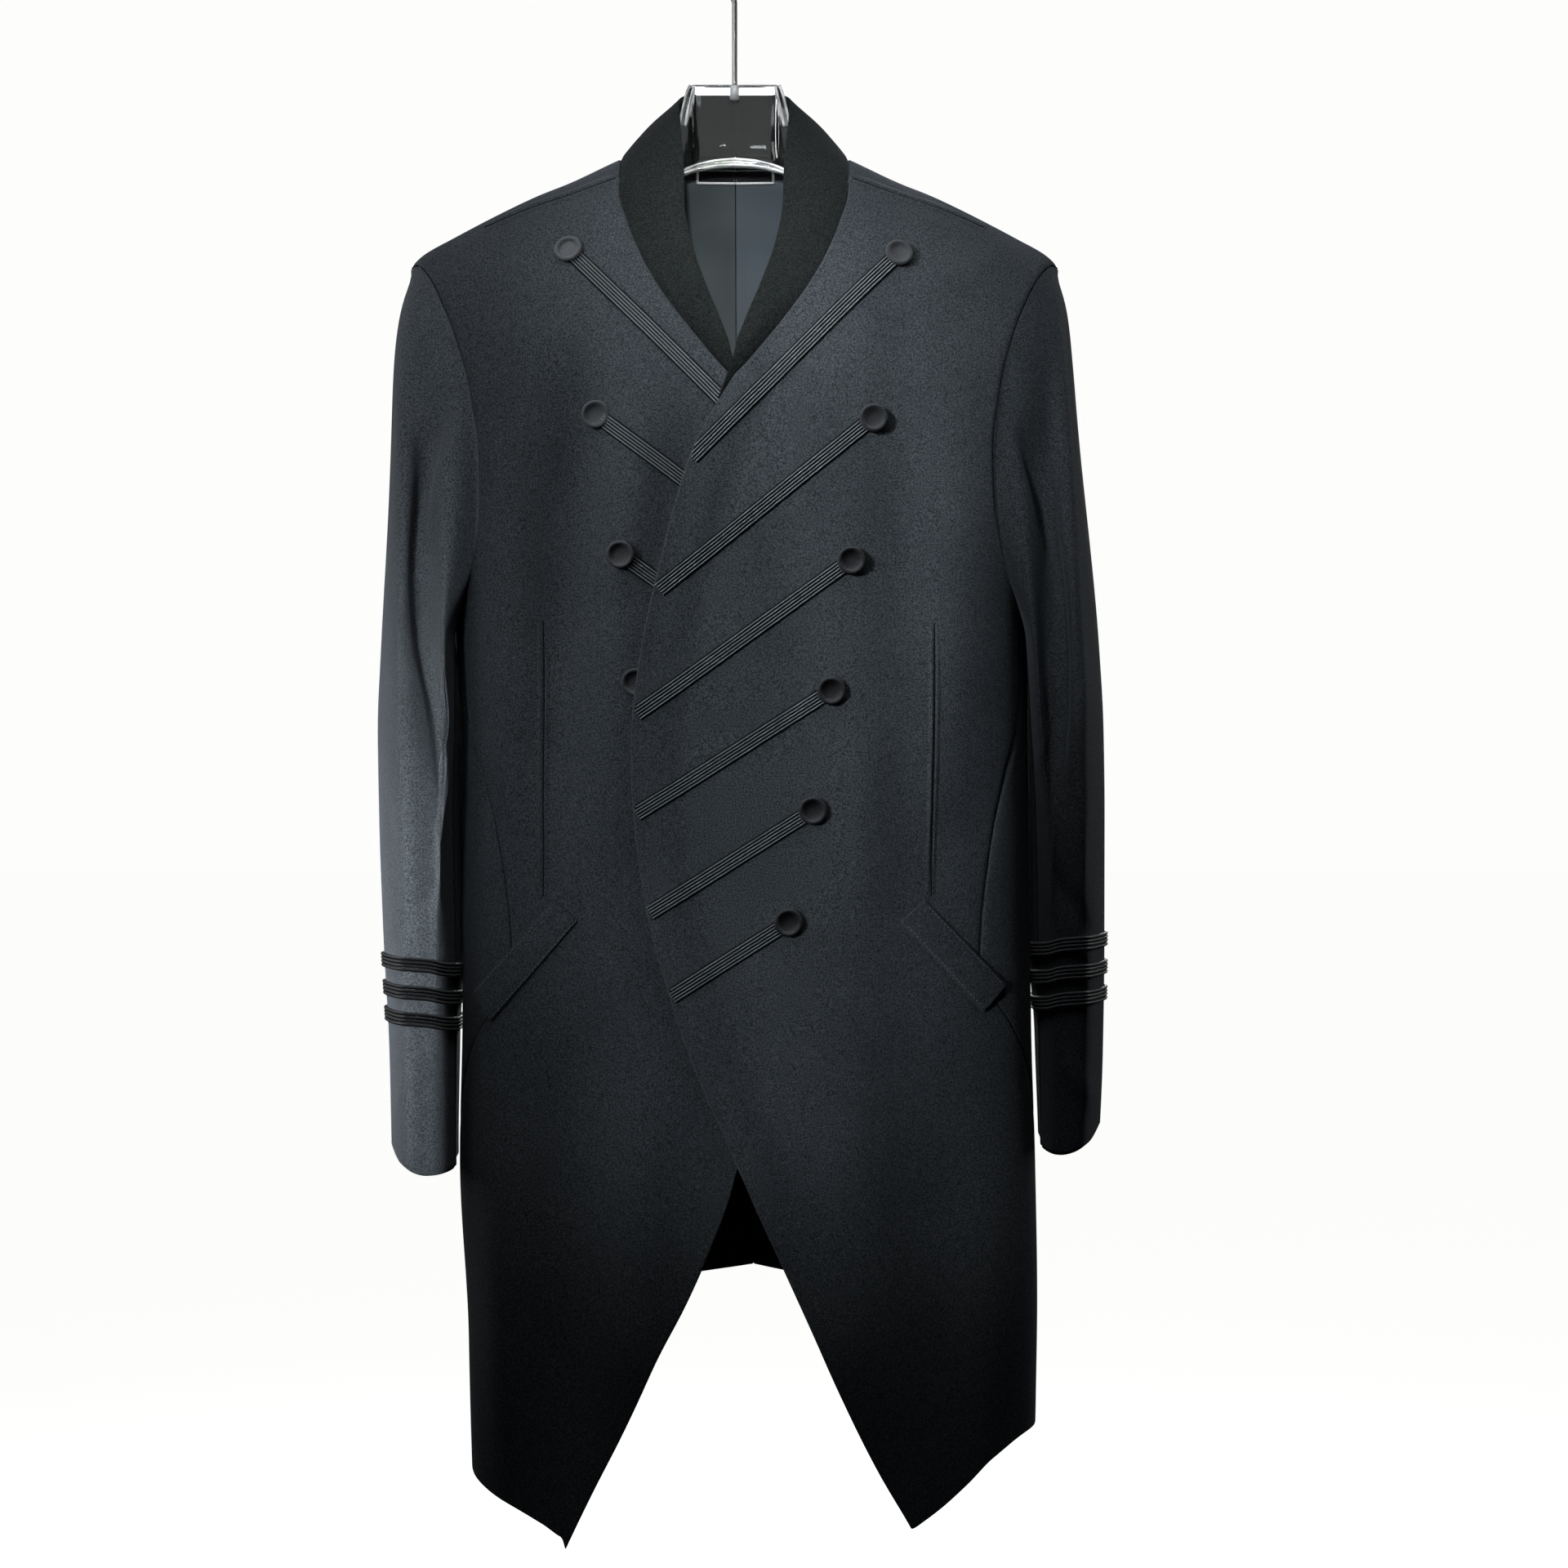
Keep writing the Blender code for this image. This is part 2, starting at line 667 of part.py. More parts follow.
def make_collar(side, tag):
    # Columns run from the middle of the back to the front end, rows from the neck seam to the free edge.
    seam = neck_back(side) + neck_front(side)[1:]
    made = [surface(place, side) for place in seam]
    reach = [0.0]
    for (a, _), (b, _) in zip(made, made[1:]):
        reach.append(reach[-1] + (b - a).length)
    grid = []
    for j in range(COLLAR_ROWS + 1):
        v = j / COLLAR_ROWS
        row = []
        for (point, normal), run in zip(made, reach):
            share = 1 - run / reach[-1]
            x, y, z = (read(COLLAR_EDGE, COLLAR_COLUMNS, "share", name, share) for name in ("x", "y", "z"))
            free = Vector((side * x, y, z))
            if side > 0:
                free.y -= lap_lift(Vector((x, 0.0, z)))
            out = Vector((side * 0.5 * (1 - share), normal.y, 0.3))
            row.append(point.lerp(free, v) + out.normalized() * COLLAR_ROLL * math.sin(math.pi * v))
        grid.append(row)
    normals = grid_normals(grid, lambda j, i: Vector((0.0, 8.0, grid[j][i].z - 40.0)))
    normals[0] = [n for _, n in made]
    for row in normals:
        row[0] = Vector((0.0, row[0].y, row[0].z)).normalized()
    outer = pull_in(grid, edges=("top", "first"))
    inner = [[p - n * WOOL for p, n in zip(row, ns)] for row, ns in zip(outer, normals)]
    wall("collar_" + tag, outer, inner, "wool")


def sleeve_value(side, name, z):
    return read(LEFT_SLEEVE if side > 0 else RIGHT_SLEEVE, SLEEVE_COLUMNS, "z", name, z)


@functools.lru_cache(maxsize=None)
def armhole_points(side, behind):
    foot = armhole_foot(side)
    stretch = foot[ARMPIT_STEPS:-1] if behind else foot[1:ARMPIT_STEPS + 1]
    points = [body_point(*place) for place in list(armhole(side, behind)) + list(stretch)]
    return sorted(points, key=lambda point: point.z)


def armhole_side(side, behind, z):
    # Point of the armhole at a height, on its front or back part.
    points = armhole_points(side, behind)
    heights = [p.z for p in points]
    return Vector([smooth_value(heights, [p[k] for p in points], z) for k in range(3)])


def body_reach(side, z, y):
    # How far out the coat's side lies at a depth.
    depth = body("front" if y < 0 else "back", z)
    share = (1 - min(abs(y) / depth, 1.0) ** SQUARENESS) ** (1 / SQUARENESS)
    return body("half_width", z) * share + side * body("centre", z)


def sleeve_controls(side, z):
    value = {name: sleeve_value(side, name, z) for name in SLEEVE_COLUMNS[1:]}
    body_side = body("half_width", z) + side * body("centre", z) + SLEEVE_CLEAR
    outer, fold, inner = value["outer"], value["fold"], value["inner"]
    if z > ARMPIT_HEIGHT + 1:
        start, end = armhole_side(side, False, z), armhole_side(side, True, z)
        apart = UNDERARM_GAP * (1 - smooth_step(ARMPIT_HEIGHT + 10, ARMPIT_HEIGHT + 35, z))
        start = (abs(start.x) + apart, start.y)
        end = (abs(end.x) + apart, end.y)
    else:
        settle = smooth_step(0.0, 16.0, ARMPIT_HEIGHT - z)
        start = end = (body_side - (SLEEVE_CLEAR - UNDERARM_GAP) * (1 - settle), 0.0)
    lobe = 0.5 * (fold + inner)
    back = value["back_y"]
    front_turn_y = 0.45 * start[1] + 0.55 * value["lobe_y"] * 0.8
    back_turn_y = 0.45 * back + 0.5 * end[1]
    front_turn, back_turn = 0.5 * (start[0] + inner) + 1.0, end[0] + 1.0
    if z <= ARMPIT_HEIGHT + 1:
        front_turn = max(front_turn, body_reach(side, z, front_turn_y) + SLEEVE_CLEAR)
        back_turn = max(back_turn, body_reach(side, z, back_turn_y) + SLEEVE_CLEAR)
    return [
        (0.0, *start),
        (0.1, front_turn, front_turn_y),
        (0.2, lobe, value["lobe_y"]),
        (0.3, fold, value["fold_y"]),
        (0.4, 0.55 * outer + 0.45 * fold, value["outer_y"]),
        (0.5, outer, 0.25 * value["outer_y"]),
        (0.6, outer - 1.0, 0.45 * back),
        (0.72, 0.6 * outer + 0.4 * end[0], back),
        (0.82, 0.3 * outer + 0.7 * end[0], 0.93 * back),
        (0.92, back_turn, back_turn_y),
        (1.0, *end),
    ]


def sleeve_section(side, z, share):
    rows = sleeve_controls(side, z)
    shares = [row[0] for row in rows]
    i = max(k for k in range(len(rows) - 1) if shares[k] <= share + 1e-9)
    t = (share - shares[i]) / (shares[i + 1] - shares[i])
    before, after = max(i - 1, 0), min(i + 2, len(rows) - 1)
    if z <= ARMPIT_HEIGHT and i == 0:
        before = len(rows) - 2
    if z <= ARMPIT_HEIGHT and i == len(rows) - 2:
        after = 1
    found = []
    for k in (1, 2):
        a, b, c, d = (rows[n][k] for n in (before, i, i + 1, after))
        found.append(b + 0.5 * t * (c - a + t * (2 * a - 5 * b + 4 * c - d + t * (3 * (b - c) + d - a))))
    return Vector((side * found[0], found[1], z))


def cuff_height(side, share):
    return read(CUFF_LINE, CUFF_COLUMNS, "share", "z", share) + (LEFT_CUFF_RISE if side > 0 else 0.0)


def armhole_ring(side):
    # Armhole places by sleeve column: the armpit at 0, the shoulder tip half way round.
    foot = armhole_foot(side)
    front, back = armhole(side, False), armhole(side, True)
    ring = foot[:ARMPIT_STEPS + 1][::-1] + front[:-1][::-1]
    return ring + back[1:] + foot[ARMPIT_STEPS + 1:][::-1][1:] + [foot[ARMPIT_STEPS]]


def sleeve_grid(side):
    ring = armhole_ring(side)
    starts = [surface(place, side) for place in ring]
    rows = [[p for p, n in starts]]
    for k in range(1, CAP_ROWS + 1):
        v = (k / CAP_ROWS) ** CAP_CROWD
        power = v ** -CAP_SPREAD
        row = []
        for i in range(SLEEVE_SIDES + 1):
            way = i / SLEEVE_SIDES
            z = starts[i][0].z + (ARMPIT_HEIGHT - CAP_FOOT - starts[i][0].z) * v
            half = min(way, 1 - way) / 0.5
            share = 0.5 * half ** power
            row.append(sleeve_section(side, z, share if way <= 0.5 else 1 - share))
        rows.append(row)
    for k in range(1, ARM_ROWS + 1):
        row = []
        for i in range(SLEEVE_SIDES + 1):
            way = i / SLEEVE_SIDES
            end = cuff_height(side, way)
            top = ARMPIT_HEIGHT - CAP_FOOT
            row.append(sleeve_section(side, top + (end - top) * k / ARM_ROWS, way))
        rows.append(row)
    return rows, [n for p, n in starts]


def make_sleeve(side, tag):
    rows, body_normals = sleeve_grid(side)
    count = SLEEVE_SIDES
    rings = [row[:count] for row in rows]
    normals = []
    for j, ring in enumerate(rings):
        line = []
        for i in range(count):
            across = ring[(i + 1) % count] - ring[i - 1]
            above, below = rings[max(j - 1, 0)][i], rings[min(j + 1, len(rings) - 1)][i]
            normal = across.cross(below - above).normalized()
            line.append(normal * (-1 if side < 0 else 1))
        normals.append(line)
    flip = -1 if normals[-1][count // 2].x * side < 0 else 1
    normals = [[n * flip for n in line] for line in normals]
    for i in range(count):
        near = min(i, count - i) / count
        fold = 1 - smooth_step(0.08, 0.24, near)
        normals[0][i] = normals[1][i].lerp(body_normals[i], 1 - fold).normalized()
        rings[0][i] = rings[0][i] + body_normals[i] * UNDERARM_GAP * fold
    spans = {
        "sleeve_under_": [(i % count) for i in range(-UNDER_SHARE, UNDER_SHARE + 1)],
        "sleeve_upper_": [(i % count) for i in range(UNDER_SHARE, count - UNDER_SHARE + 1)],
    }
    for stem, columns in spans.items():
        grid = [[ring[i] for i in columns] for ring in rings]
        outs = [[line[i] for i in columns] for line in normals]
        outer = pull_in(grid, SLEEVE_SEAM)
        inner = [[p - n * WOOL for p, n in zip(row, ns)] for row, ns in zip(outer, outs)]
        wall(stem + tag, outer, inner, "wool")
    for number, height in enumerate(CUFF_BRAID_HEIGHTS, 1):
        make_cuff_braid(side, "cuff_braid_%s_%d" % (tag, number), height)


def make_cuff_braid(side, name, height):
    height += LEFT_BRAID_RISE if side > 0 else 0.0
    loops = []
    for edge in (0.5, -0.5):
        near, far = [], []
        for i in range(SLEEVE_SIDES):
            way = i / SLEEVE_SIDES
            tilt = CUFF_BRAID_TILT * (0.5 - 0.5 * math.cos(2 * math.pi * way))
            z = height + tilt + edge * BRAID_WIDTH
            step = 0.01
            across = sleeve_section(side, z, (way + step) % 1.0) - sleeve_section(side, z, (way - step) % 1.0)
            normal = Vector((across.y, -across.x, 0.0)).normalized() * side
            point = sleeve_section(side, z, way)
            if normal.dot(sleeve_section(side, z, (way + 0.5) % 1.0) - point) > 0:
                normal = -normal
            near.append(point + normal * BRAID_GAP)
            far.append(point + normal * (BRAID_GAP + BRAID_THICK))
        loops.append((near, far))
    ring_tube(name, [loops[0][1], loops[1][1]], [loops[0][0], loops[1][0]], "braid")


def make_strip(name, side, start, end, width, thick, gap, steps, skip=0.0):
    # A flat strip laid on a front along a straight line in the front view.
    a, b = Vector(start), Vector(end)
    way = (b - a).normalized()
    a = a + way * skip
    grid, normals = [], []
    for j in range(steps + 1):
        middle = a.lerp(b, j / steps)
        point, normal = laid(spot(middle.x, middle.y), side)
        ahead, _ = surface(spot(middle.x + way.x, middle.y + way.y), side)
        ahead += point - surface(spot(middle.x, middle.y), side)[0]
        across = normal.cross(ahead - point).normalized() * (width / 2)
        row = []
        for share in (-1, 0, 1):
            edge = point + across * share
            row.append(laid(spot(edge.x, edge.z), side))
        grid.append([p + n * (gap + thick) for p, n in row])
        normals.append([n for p, n in row])
    inner = [[p - n * thick for p, n in zip(row, ns)] for row, ns in zip(grid, normals)]
    return wall(name, grid, inner, "braid")


def make_button(name, side, x, z):
    point, normal = laid(spot(x, z), side)
    aside = normal.cross(Vector((0, 0, 1))).normalized()
    upward = aside.cross(normal)
    points, faces = [], []
    inner = BUTTON_PROFILE[1:-1]
    for radius, height in inner:
        for i in range(BUTTON_SIDES):
            angle = 2 * math.pi * i / BUTTON_SIDES
            points.append(point + normal * height + (aside * math.cos(angle) + upward * math.sin(angle)) * radius)
    first, last = len(points), len(points) + 1
    points += [point + normal * BUTTON_PROFILE[0][1], point + normal * BUTTON_PROFILE[-1][1]]
    for k in range(len(inner) - 1):
        for i in range(BUTTON_SIDES):
            j = (i + 1) % BUTTON_SIDES
            base, above = k * BUTTON_SIDES, (k + 1) * BUTTON_SIDES
            faces.append((base + i, base + j, above + j, above + i))
    end = (len(inner) - 1) * BUTTON_SIDES
    for i in range(BUTTON_SIDES):
        j = (i + 1) % BUTTON_SIDES
        faces.append((first, j, i))
        faces.append((last, end + i, end + j))
    return make_object(name, points, faces, "button")


def make_fastenings():
    for side, tag, frogs in ((1, "left", LEFT_FROGS), (-1, "right", RIGHT_FROGS)):
        for number, (bx, bz, ex, ez) in enumerate(frogs, 1):
            make_button("button_%s_%d" % (tag, number), side, bx, bz)
            name = "braid_%s_%d" % (tag, number)
            make_strip(name, side, (bx, bz), (ex, ez), BRAID_WIDTH, BRAID_THICK, BRAID_GAP, BRAID_STEPS, SHANK_RADIUS + 1.2)
    make_button("button_right_%d" % (len(RIGHT_FROGS) + 1), -1, *HALF_HIDDEN_BUTTON)


def make_welt(side, tag):
    # A slanting pocket welt that runs round to the side.
    corners = dict(zip(WELT_COLUMNS, next(row for row in WELTS if row[0] == side)))
    near_top, near_foot, far_top, far_foot = (Vector(corners[name]) for name in WELT_COLUMNS[1:])
    grid, inner = [], []
    for j in range(WELT_STEPS[0] + 1):
        share = math.sin(math.pi / 2 * j / WELT_STEPS[0])     # closer rows where the coat turns away
        upper, lower = near_top.lerp(far_top, share), near_foot.lerp(far_foot, share)
        row = []
        for i in range(WELT_STEPS[1] + 1):
            place = lower.lerp(upper, i / WELT_STEPS[1])
            row.append(laid(spot(place.x, place.y), side))
        grid.append([p + n * (WELT_GAP + WELT_THICK) for p, n in row])
        inner.append([p + n * WELT_GAP for p, n in row])
    wall("welt_" + tag, grid, inner, "wool")


def hanger_value(name, x):
    return read(HANGER_SECTIONS, HANGER_COLUMNS, "x", name, abs(x))


def make_hanger():
    stations = sorted({side * row[0] for row in HANGER_SECTIONS for side in (-1, 1)})
    points, faces = [], []
    for x in stations:
        top, foot, thick = (hanger_value(name, x) for name in ("top", "foot", "half_thick"))
        middle, half = (top + foot) / 2, (top - foot) / 2
        for i in range(HANGER_POINTS):
            angle = 2 * math.pi * i / HANGER_POINTS
            up, out = math.cos(angle), math.sin(angle)
            size = 1.0 if up > 0 else (abs(up) ** 4 + abs(out) ** 4) ** 0.25
            points.append(Vector((x, thick * out / size, middle + half * up / size)))
    for k in range(len(stations) - 1):
        for i in range(HANGER_POINTS):
            j = (i + 1) % HANGER_POINTS
            base, ahead = k * HANGER_POINTS, (k + 1) * HANGER_POINTS
            faces.append((base + i, base + j, ahead + j, ahead + i))
    faces.append(tuple(range(HANGER_POINTS)))
    faces.append(tuple(range(len(points) - HANGER_POINTS, len(points))))
    make_object("hanger_body", points, faces, "clear_plastic")


def make_hook():
    # A straight stem that swings out into three quarters of a turn.
    centre = Vector((0.0, 0.0, -(HOOK_RADIUS - HOOK_WIRE / 2)))
    path = [Vector((0, 0, hanger_value("top", 0) + 0.4))] + [Vector((x, 0, z)) for x, z in HOOK_STEM]
    first, last, count = HOOK_BOW
    for i in range(count):
        angle = math.radians(first + (last - first) * i / (count - 1))
        path.append(centre + Vector((math.cos(angle), 0, math.sin(angle))) * HOOK_RADIUS)
    sides = HOOK_SIDES
    points, faces = [], []
    for k, point in enumerate(path):
        way = (path[min(k + 1, len(path) - 1)] - path[max(k - 1, 0)]).normalized()
        aside = Vector((0, 1, 0))
        upward = way.cross(aside)
        for i in range(sides):
            angle = 2 * math.pi * i / sides
            points.append(point + (aside * math.cos(angle) + upward * math.sin(angle)) * (HOOK_WIRE / 2))
    for k in range(len(path) - 1):
        for i in range(sides):
            j = (i + 1) % sides
            faces.append((k * sides + i, k * sides + j, (k + 1) * sides + j, (k + 1) * sides + i))
    faces.append(tuple(range(sides)))
    faces.append(tuple(range(len(points) - sides, len(points))))
    make_object("hanger_hook", points, faces, "steel")


def make_label():
    # The neck label lies on the lining just under the neck seam.
    inset = WOOL + LINING_NECK_GAP + SATIN + LABEL_GAP
    grid, inner = [], []
    for j in range(4):
        z = LABEL_TOP - LABEL_HEIGHT * j / 3
        made = []
        for i in range(7):
            x = LABEL_WIDTH * (i / 6 - 0.5)
            place = spot(x if abs(x) > 0.01 else 0.01, z, True)
            made.append((body_point(*place), body_normal(*place)))
        grid.append([p - n * inset for p, n in made])
        inner.append([p - n * (inset + LABEL_THICK) for p, n in made])
    wall("neck_label", grid, inner, "label")


def main():
    clear_scene()
    for side, tag in ((1, "left"), (-1, "right")):
        make_body(side, tag)
        make_lining(side, tag)
        make_collar(side, tag)
        make_sleeve(side, tag)
        make_welt(side, tag)
    make_fastenings()
    make_hanger()
    make_hook()
    make_label()


main()
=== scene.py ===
import math

import bmesh
import bpy
import numpy as np
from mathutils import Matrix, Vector


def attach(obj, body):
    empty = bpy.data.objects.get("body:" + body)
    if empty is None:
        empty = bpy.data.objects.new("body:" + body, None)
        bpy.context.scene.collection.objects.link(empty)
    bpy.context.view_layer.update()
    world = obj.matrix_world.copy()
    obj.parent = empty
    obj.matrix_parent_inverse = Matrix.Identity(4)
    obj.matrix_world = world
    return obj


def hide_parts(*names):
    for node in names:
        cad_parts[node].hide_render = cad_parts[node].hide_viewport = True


# A wool tailcoat on its hanger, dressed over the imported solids.
# Sizes are in millimetres in the tables and become metres when a mesh is made.

mm = 0.001
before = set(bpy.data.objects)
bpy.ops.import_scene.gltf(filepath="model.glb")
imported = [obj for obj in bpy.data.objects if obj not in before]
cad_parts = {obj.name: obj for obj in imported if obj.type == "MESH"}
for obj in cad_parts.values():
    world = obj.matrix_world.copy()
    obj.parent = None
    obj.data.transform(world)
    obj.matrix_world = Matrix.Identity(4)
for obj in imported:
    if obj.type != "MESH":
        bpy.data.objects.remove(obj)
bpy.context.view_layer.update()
print("frame loaded")

# Camera and light.

studio = {
    "cameraPlace": (0.036, -2.67, -0.627),
    "lens": 84.05,
    "sensor": 36.0,
    "floorHeight": -1.42,
    # name, place, aim, size, power in watts, spread in degrees
    "lamps": [
        ("top", (0.0, -0.55, 0.95), (0.0, 0.0, -0.4), 0.7, 2.3, 80.0),
        ("close", (-0.95, -0.7, 0.2), (-0.05, 0.0, -0.25), 0.35, 1.0, 70.0),
        ("key", (-0.55, -1.35, 0.42), (-0.02, 0.0, -0.22), 0.55, 0.29, 46.0),
        ("chest", (-1.25, -1.65, 0.15), (0.21, 0.0, -0.36), 0.25, 0.58, 12.0),
        ("waist", (-1.25, -1.65, -0.25), (0.19, 0.0, -0.60), 0.25, 0.26, 9.5),
        ("skirt", (-1.25, -1.65, -0.6), (0.13, 0.0, -0.83), 0.25, 0.17, 8.0),
        ("arm", (-0.9, -1.7, 0.1), (-0.25, 0.0, -0.45), 0.3, 0.42, 22.0),
        ("forearm", (-0.75, -1.85, -0.6), (-0.24, 0.0, -0.68), 0.3, 1.1, 13.0),
        ("cuff", (-0.75, -1.85, -0.75), (-0.24, 0.0, -0.86), 0.3, 0.55, 10.0),
        ("flank", (-0.9, -2.0, -0.3), (-0.17, 0.0, -0.60), 0.3, 0.10, 8.0),
        ("farArm", (-0.6, -1.9, 0.3), (0.20, 0.0, -0.36), 0.3, 0.3, 12.0),
        ("lining", (-0.05, -2.2, -0.12), (0.005, 0.0, -0.24), 0.1, 0.14, 9.0),
        ("back", (0.3, 2.7, -0.1), (0.0, 0.0, -0.5), 1.2, 9.0, 100.0),
        ("backLeft", (-2.2, 1.4, 0.1), (0.0, 0.1, -0.6), 0.8, 2.0, 60.0),
        ("backRight", (2.2, 1.4, 0.1), (0.0, 0.1, -0.6), 0.8, 2.0, 60.0),
    ],
    # pieces that a lamp lights, and pieces that it passes by, as the starts of their names
    "lit": {
        "chest": ("front_", "side_", "braid_", "button_", "welt_", "dart_", "shoulder_"),
        "waist": ("front_", "side_", "braid_", "button_", "welt_", "dart_"),
        "skirt": ("front_", "side_", "braid_", "button_", "welt_"),
        "arm": ("sleeve_upper_right", "sleeve_under_right", "cuff_braid_right"),
        "forearm": ("sleeve_upper_right", "sleeve_under_right"),
        "cuff": ("sleeve_upper_right", "sleeve_under_right"),
        "farArm": ("sleeve_upper_left",),
        "flank": ("front_", "side_", "braid_", "button_", "welt_", "dart_"),
    },
    "passed": {
        "close": ("sleeve_upper_left", "sleeve_under_left", "cuff_braid_left", "collar_", "lining_"),
        "key": ("sleeve_upper_left", "sleeve_under_left", "cuff_braid_left", "lining_"),
        "top": ("lining_",),
    },
    "skyLight": 0.012,
    "skySeen": 0.985,
    "floorReach": 30.0,
}


def makeStudio():
    camera = bpy.data.cameras.new("camera")
    camera.lens = studio["lens"]
    camera.sensor_width = studio["sensor"]
    holder = bpy.data.objects.new("camera", camera)
    holder.location = studio["cameraPlace"]
    holder.rotation_euler = (math.pi / 2, 0.0, 0.0)
    bpy.context.scene.collection.objects.link(holder)
    bpy.context.scene.camera = holder
    for name, place, aim, size, power, spread in studio["lamps"]:
        lamp = bpy.data.lights.new(name, "AREA")
        lamp.size = size
        lamp.energy = power
        lamp.spread = math.radians(spread)
        stand = bpy.data.objects.new(name, lamp)
        stand.location = place
        stand.rotation_euler = (Vector(aim) - Vector(place)).to_track_quat("-Z", "Y").to_euler()
        bpy.context.scene.collection.objects.link(stand)
    world = bpy.data.worlds.new("studio")
    bpy.context.scene.world = world
    world.use_nodes = True
    tree = world.node_tree
    tree.nodes.clear()
    seen, light = tree.nodes.new("ShaderNodeBackground"), tree.nodes.new("ShaderNodeBackground")
    seen.inputs["Color"].default_value = (1.0, 1.0, 0.99, 1.0)
    seen.inputs["Strength"].default_value = studio["skySeen"]
    light.inputs["Color"].default_value = (0.92, 0.96, 1.0, 1.0)
    light.inputs["Strength"].default_value = studio["skyLight"]
    path, mix = tree.nodes.new("ShaderNodeLightPath"), tree.nodes.new("ShaderNodeMixShader")
    out = tree.nodes.new("ShaderNodeOutputWorld")
    either = tree.nodes.new("ShaderNodeMath")    # the white ground also shows through the clear plastic
    either.operation = "MAXIMUM"
    tree.links.new(path.outputs["Is Camera Ray"], either.inputs[0])
    tree.links.new(path.outputs["Is Transmission Ray"], either.inputs[1])
    tree.links.new(either.outputs[0], mix.inputs[0])
    tree.links.new(light.outputs[0], mix.inputs[1])
    tree.links.new(seen.outputs[0], mix.inputs[2])
    tree.links.new(mix.outputs[0], out.inputs[0])
    bpy.context.scene.view_settings.view_transform = "Standard"
    mesh = bpy.data.meshes.new("floor")
    reach, z = studio["floorReach"], studio["floorHeight"]
    corners = [(-reach, -reach, z), (reach, -reach, z), (reach, reach, z), (-reach, reach, z)]
    mesh.from_pydata(corners, [], [(0, 1, 2, 3)])
    floor = bpy.data.objects.new("floor", mesh)
    bpy.context.scene.collection.objects.link(floor)
    pale = bpy.data.materials.new("paleFloor")
    pale.use_nodes = True
    shader = pale.node_tree.nodes["Principled BSDF"]
    shader.inputs["Base Color"].default_value = (0.6, 0.6, 0.59, 1.0)
    shader.inputs["Roughness"].default_value = 0.9
    shader.inputs["Emission Color"].default_value = (1.0, 1.0, 0.985, 1.0)
    shader.inputs["Emission Strength"].default_value = 0.97
    mesh.materials.append(pale)
    floor.visible_diffuse = False    # the white ground doesn't light the dark cloth from below
    floor.visible_glossy = False
    floor.visible_transmission = False


def shareLight():
    # Each lamp of the tables above lights only its own pieces.
    pieces = [o for o in bpy.context.scene.objects if o.type == "MESH"]
    for name in list(studio["lit"]) + list(studio["passed"]):
        if name in studio["lit"]:
            lit = [o for o in pieces if o.name.startswith(studio["lit"][name])]
        else:
            lit = [o for o in pieces if not o.name.startswith(studio["passed"][name])]
        group = bpy.data.collections.new(name + "Pieces")
        for piece in lit:
            group.objects.link(piece)
        bpy.data.objects[name].light_linking.receiver_collection = group


makeStudio()
print("studio made")

# Materials.

woolLook = {
    "dark": (0.0070, 0.0090, 0.0104),
    "light": (0.040, 0.0470, 0.0545),
    "napScale": 900.0,
    "cloudScale": 14.0,
    "weaveDepth": 0.0003,
    "sheen": 0.06,
}


def startMaterial(name, roughness, specular):
    made = bpy.data.materials.new(name)
    made.use_nodes = True
    shader = made.node_tree.nodes["Principled BSDF"]
    shader.inputs["Roughness"].default_value = roughness
    shader.inputs["Specular IOR Level"].default_value = specular
    return made, made.node_tree, shader


def noise(tree, place, scale, detail=2.0, stretch=None):
    if stretch is not None:
        mapping = tree.nodes.new("ShaderNodeMapping")
        mapping.inputs["Scale"].default_value = stretch
        tree.links.new(place, mapping.inputs["Vector"])
        place = mapping.outputs["Vector"]
    found = tree.nodes.new("ShaderNodeTexNoise")
    found.inputs["Scale"].default_value = scale
    found.inputs["Detail"].default_value = detail
    tree.links.new(place, found.inputs["Vector"])
    return found.outputs["Fac"]


def objectPlace(tree):
    return tree.nodes.new("ShaderNodeTexCoord").outputs["Object"]


def ramp(tree, source, stops):
    made = tree.nodes.new("ShaderNodeValToRGB")
    made.color_ramp.elements[0].position = stops[0][0]
    made.color_ramp.elements[0].color = (*stops[0][1], 1.0)
    made.color_ramp.elements[1].position = stops[1][0]
    made.color_ramp.elements[1].color = (*stops[1][1], 1.0)
    tree.links.new(source, made.inputs["Fac"])
    return made.outputs["Color"]


def blendColours(tree, kind, amount, first, second):
    mix = tree.nodes.new("ShaderNodeMix")
    mix.data_type = "RGBA"
    mix.blend_type = kind
    mix.inputs[0].default_value = amount
    tree.links.new(first, mix.inputs[6])
    tree.links.new(second, mix.inputs[7])
    return mix.outputs[2]


def bumpFrom(tree, shader, heights):
    # heights is a list of (source, depth in metres); each bump rests on the one before it.
    normal = None
    for source, depth in heights:
        bump = tree.nodes.new("ShaderNodeBump")
        bump.inputs["Distance"].default_value = depth
        bump.inputs["Strength"].default_value = 1.0
        tree.links.new(source, bump.inputs["Height"])
        if normal is not None:
            tree.links.new(normal, bump.inputs["Normal"])
        normal = bump.outputs["Normal"]
    tree.links.new(normal, shader.inputs["Normal"])


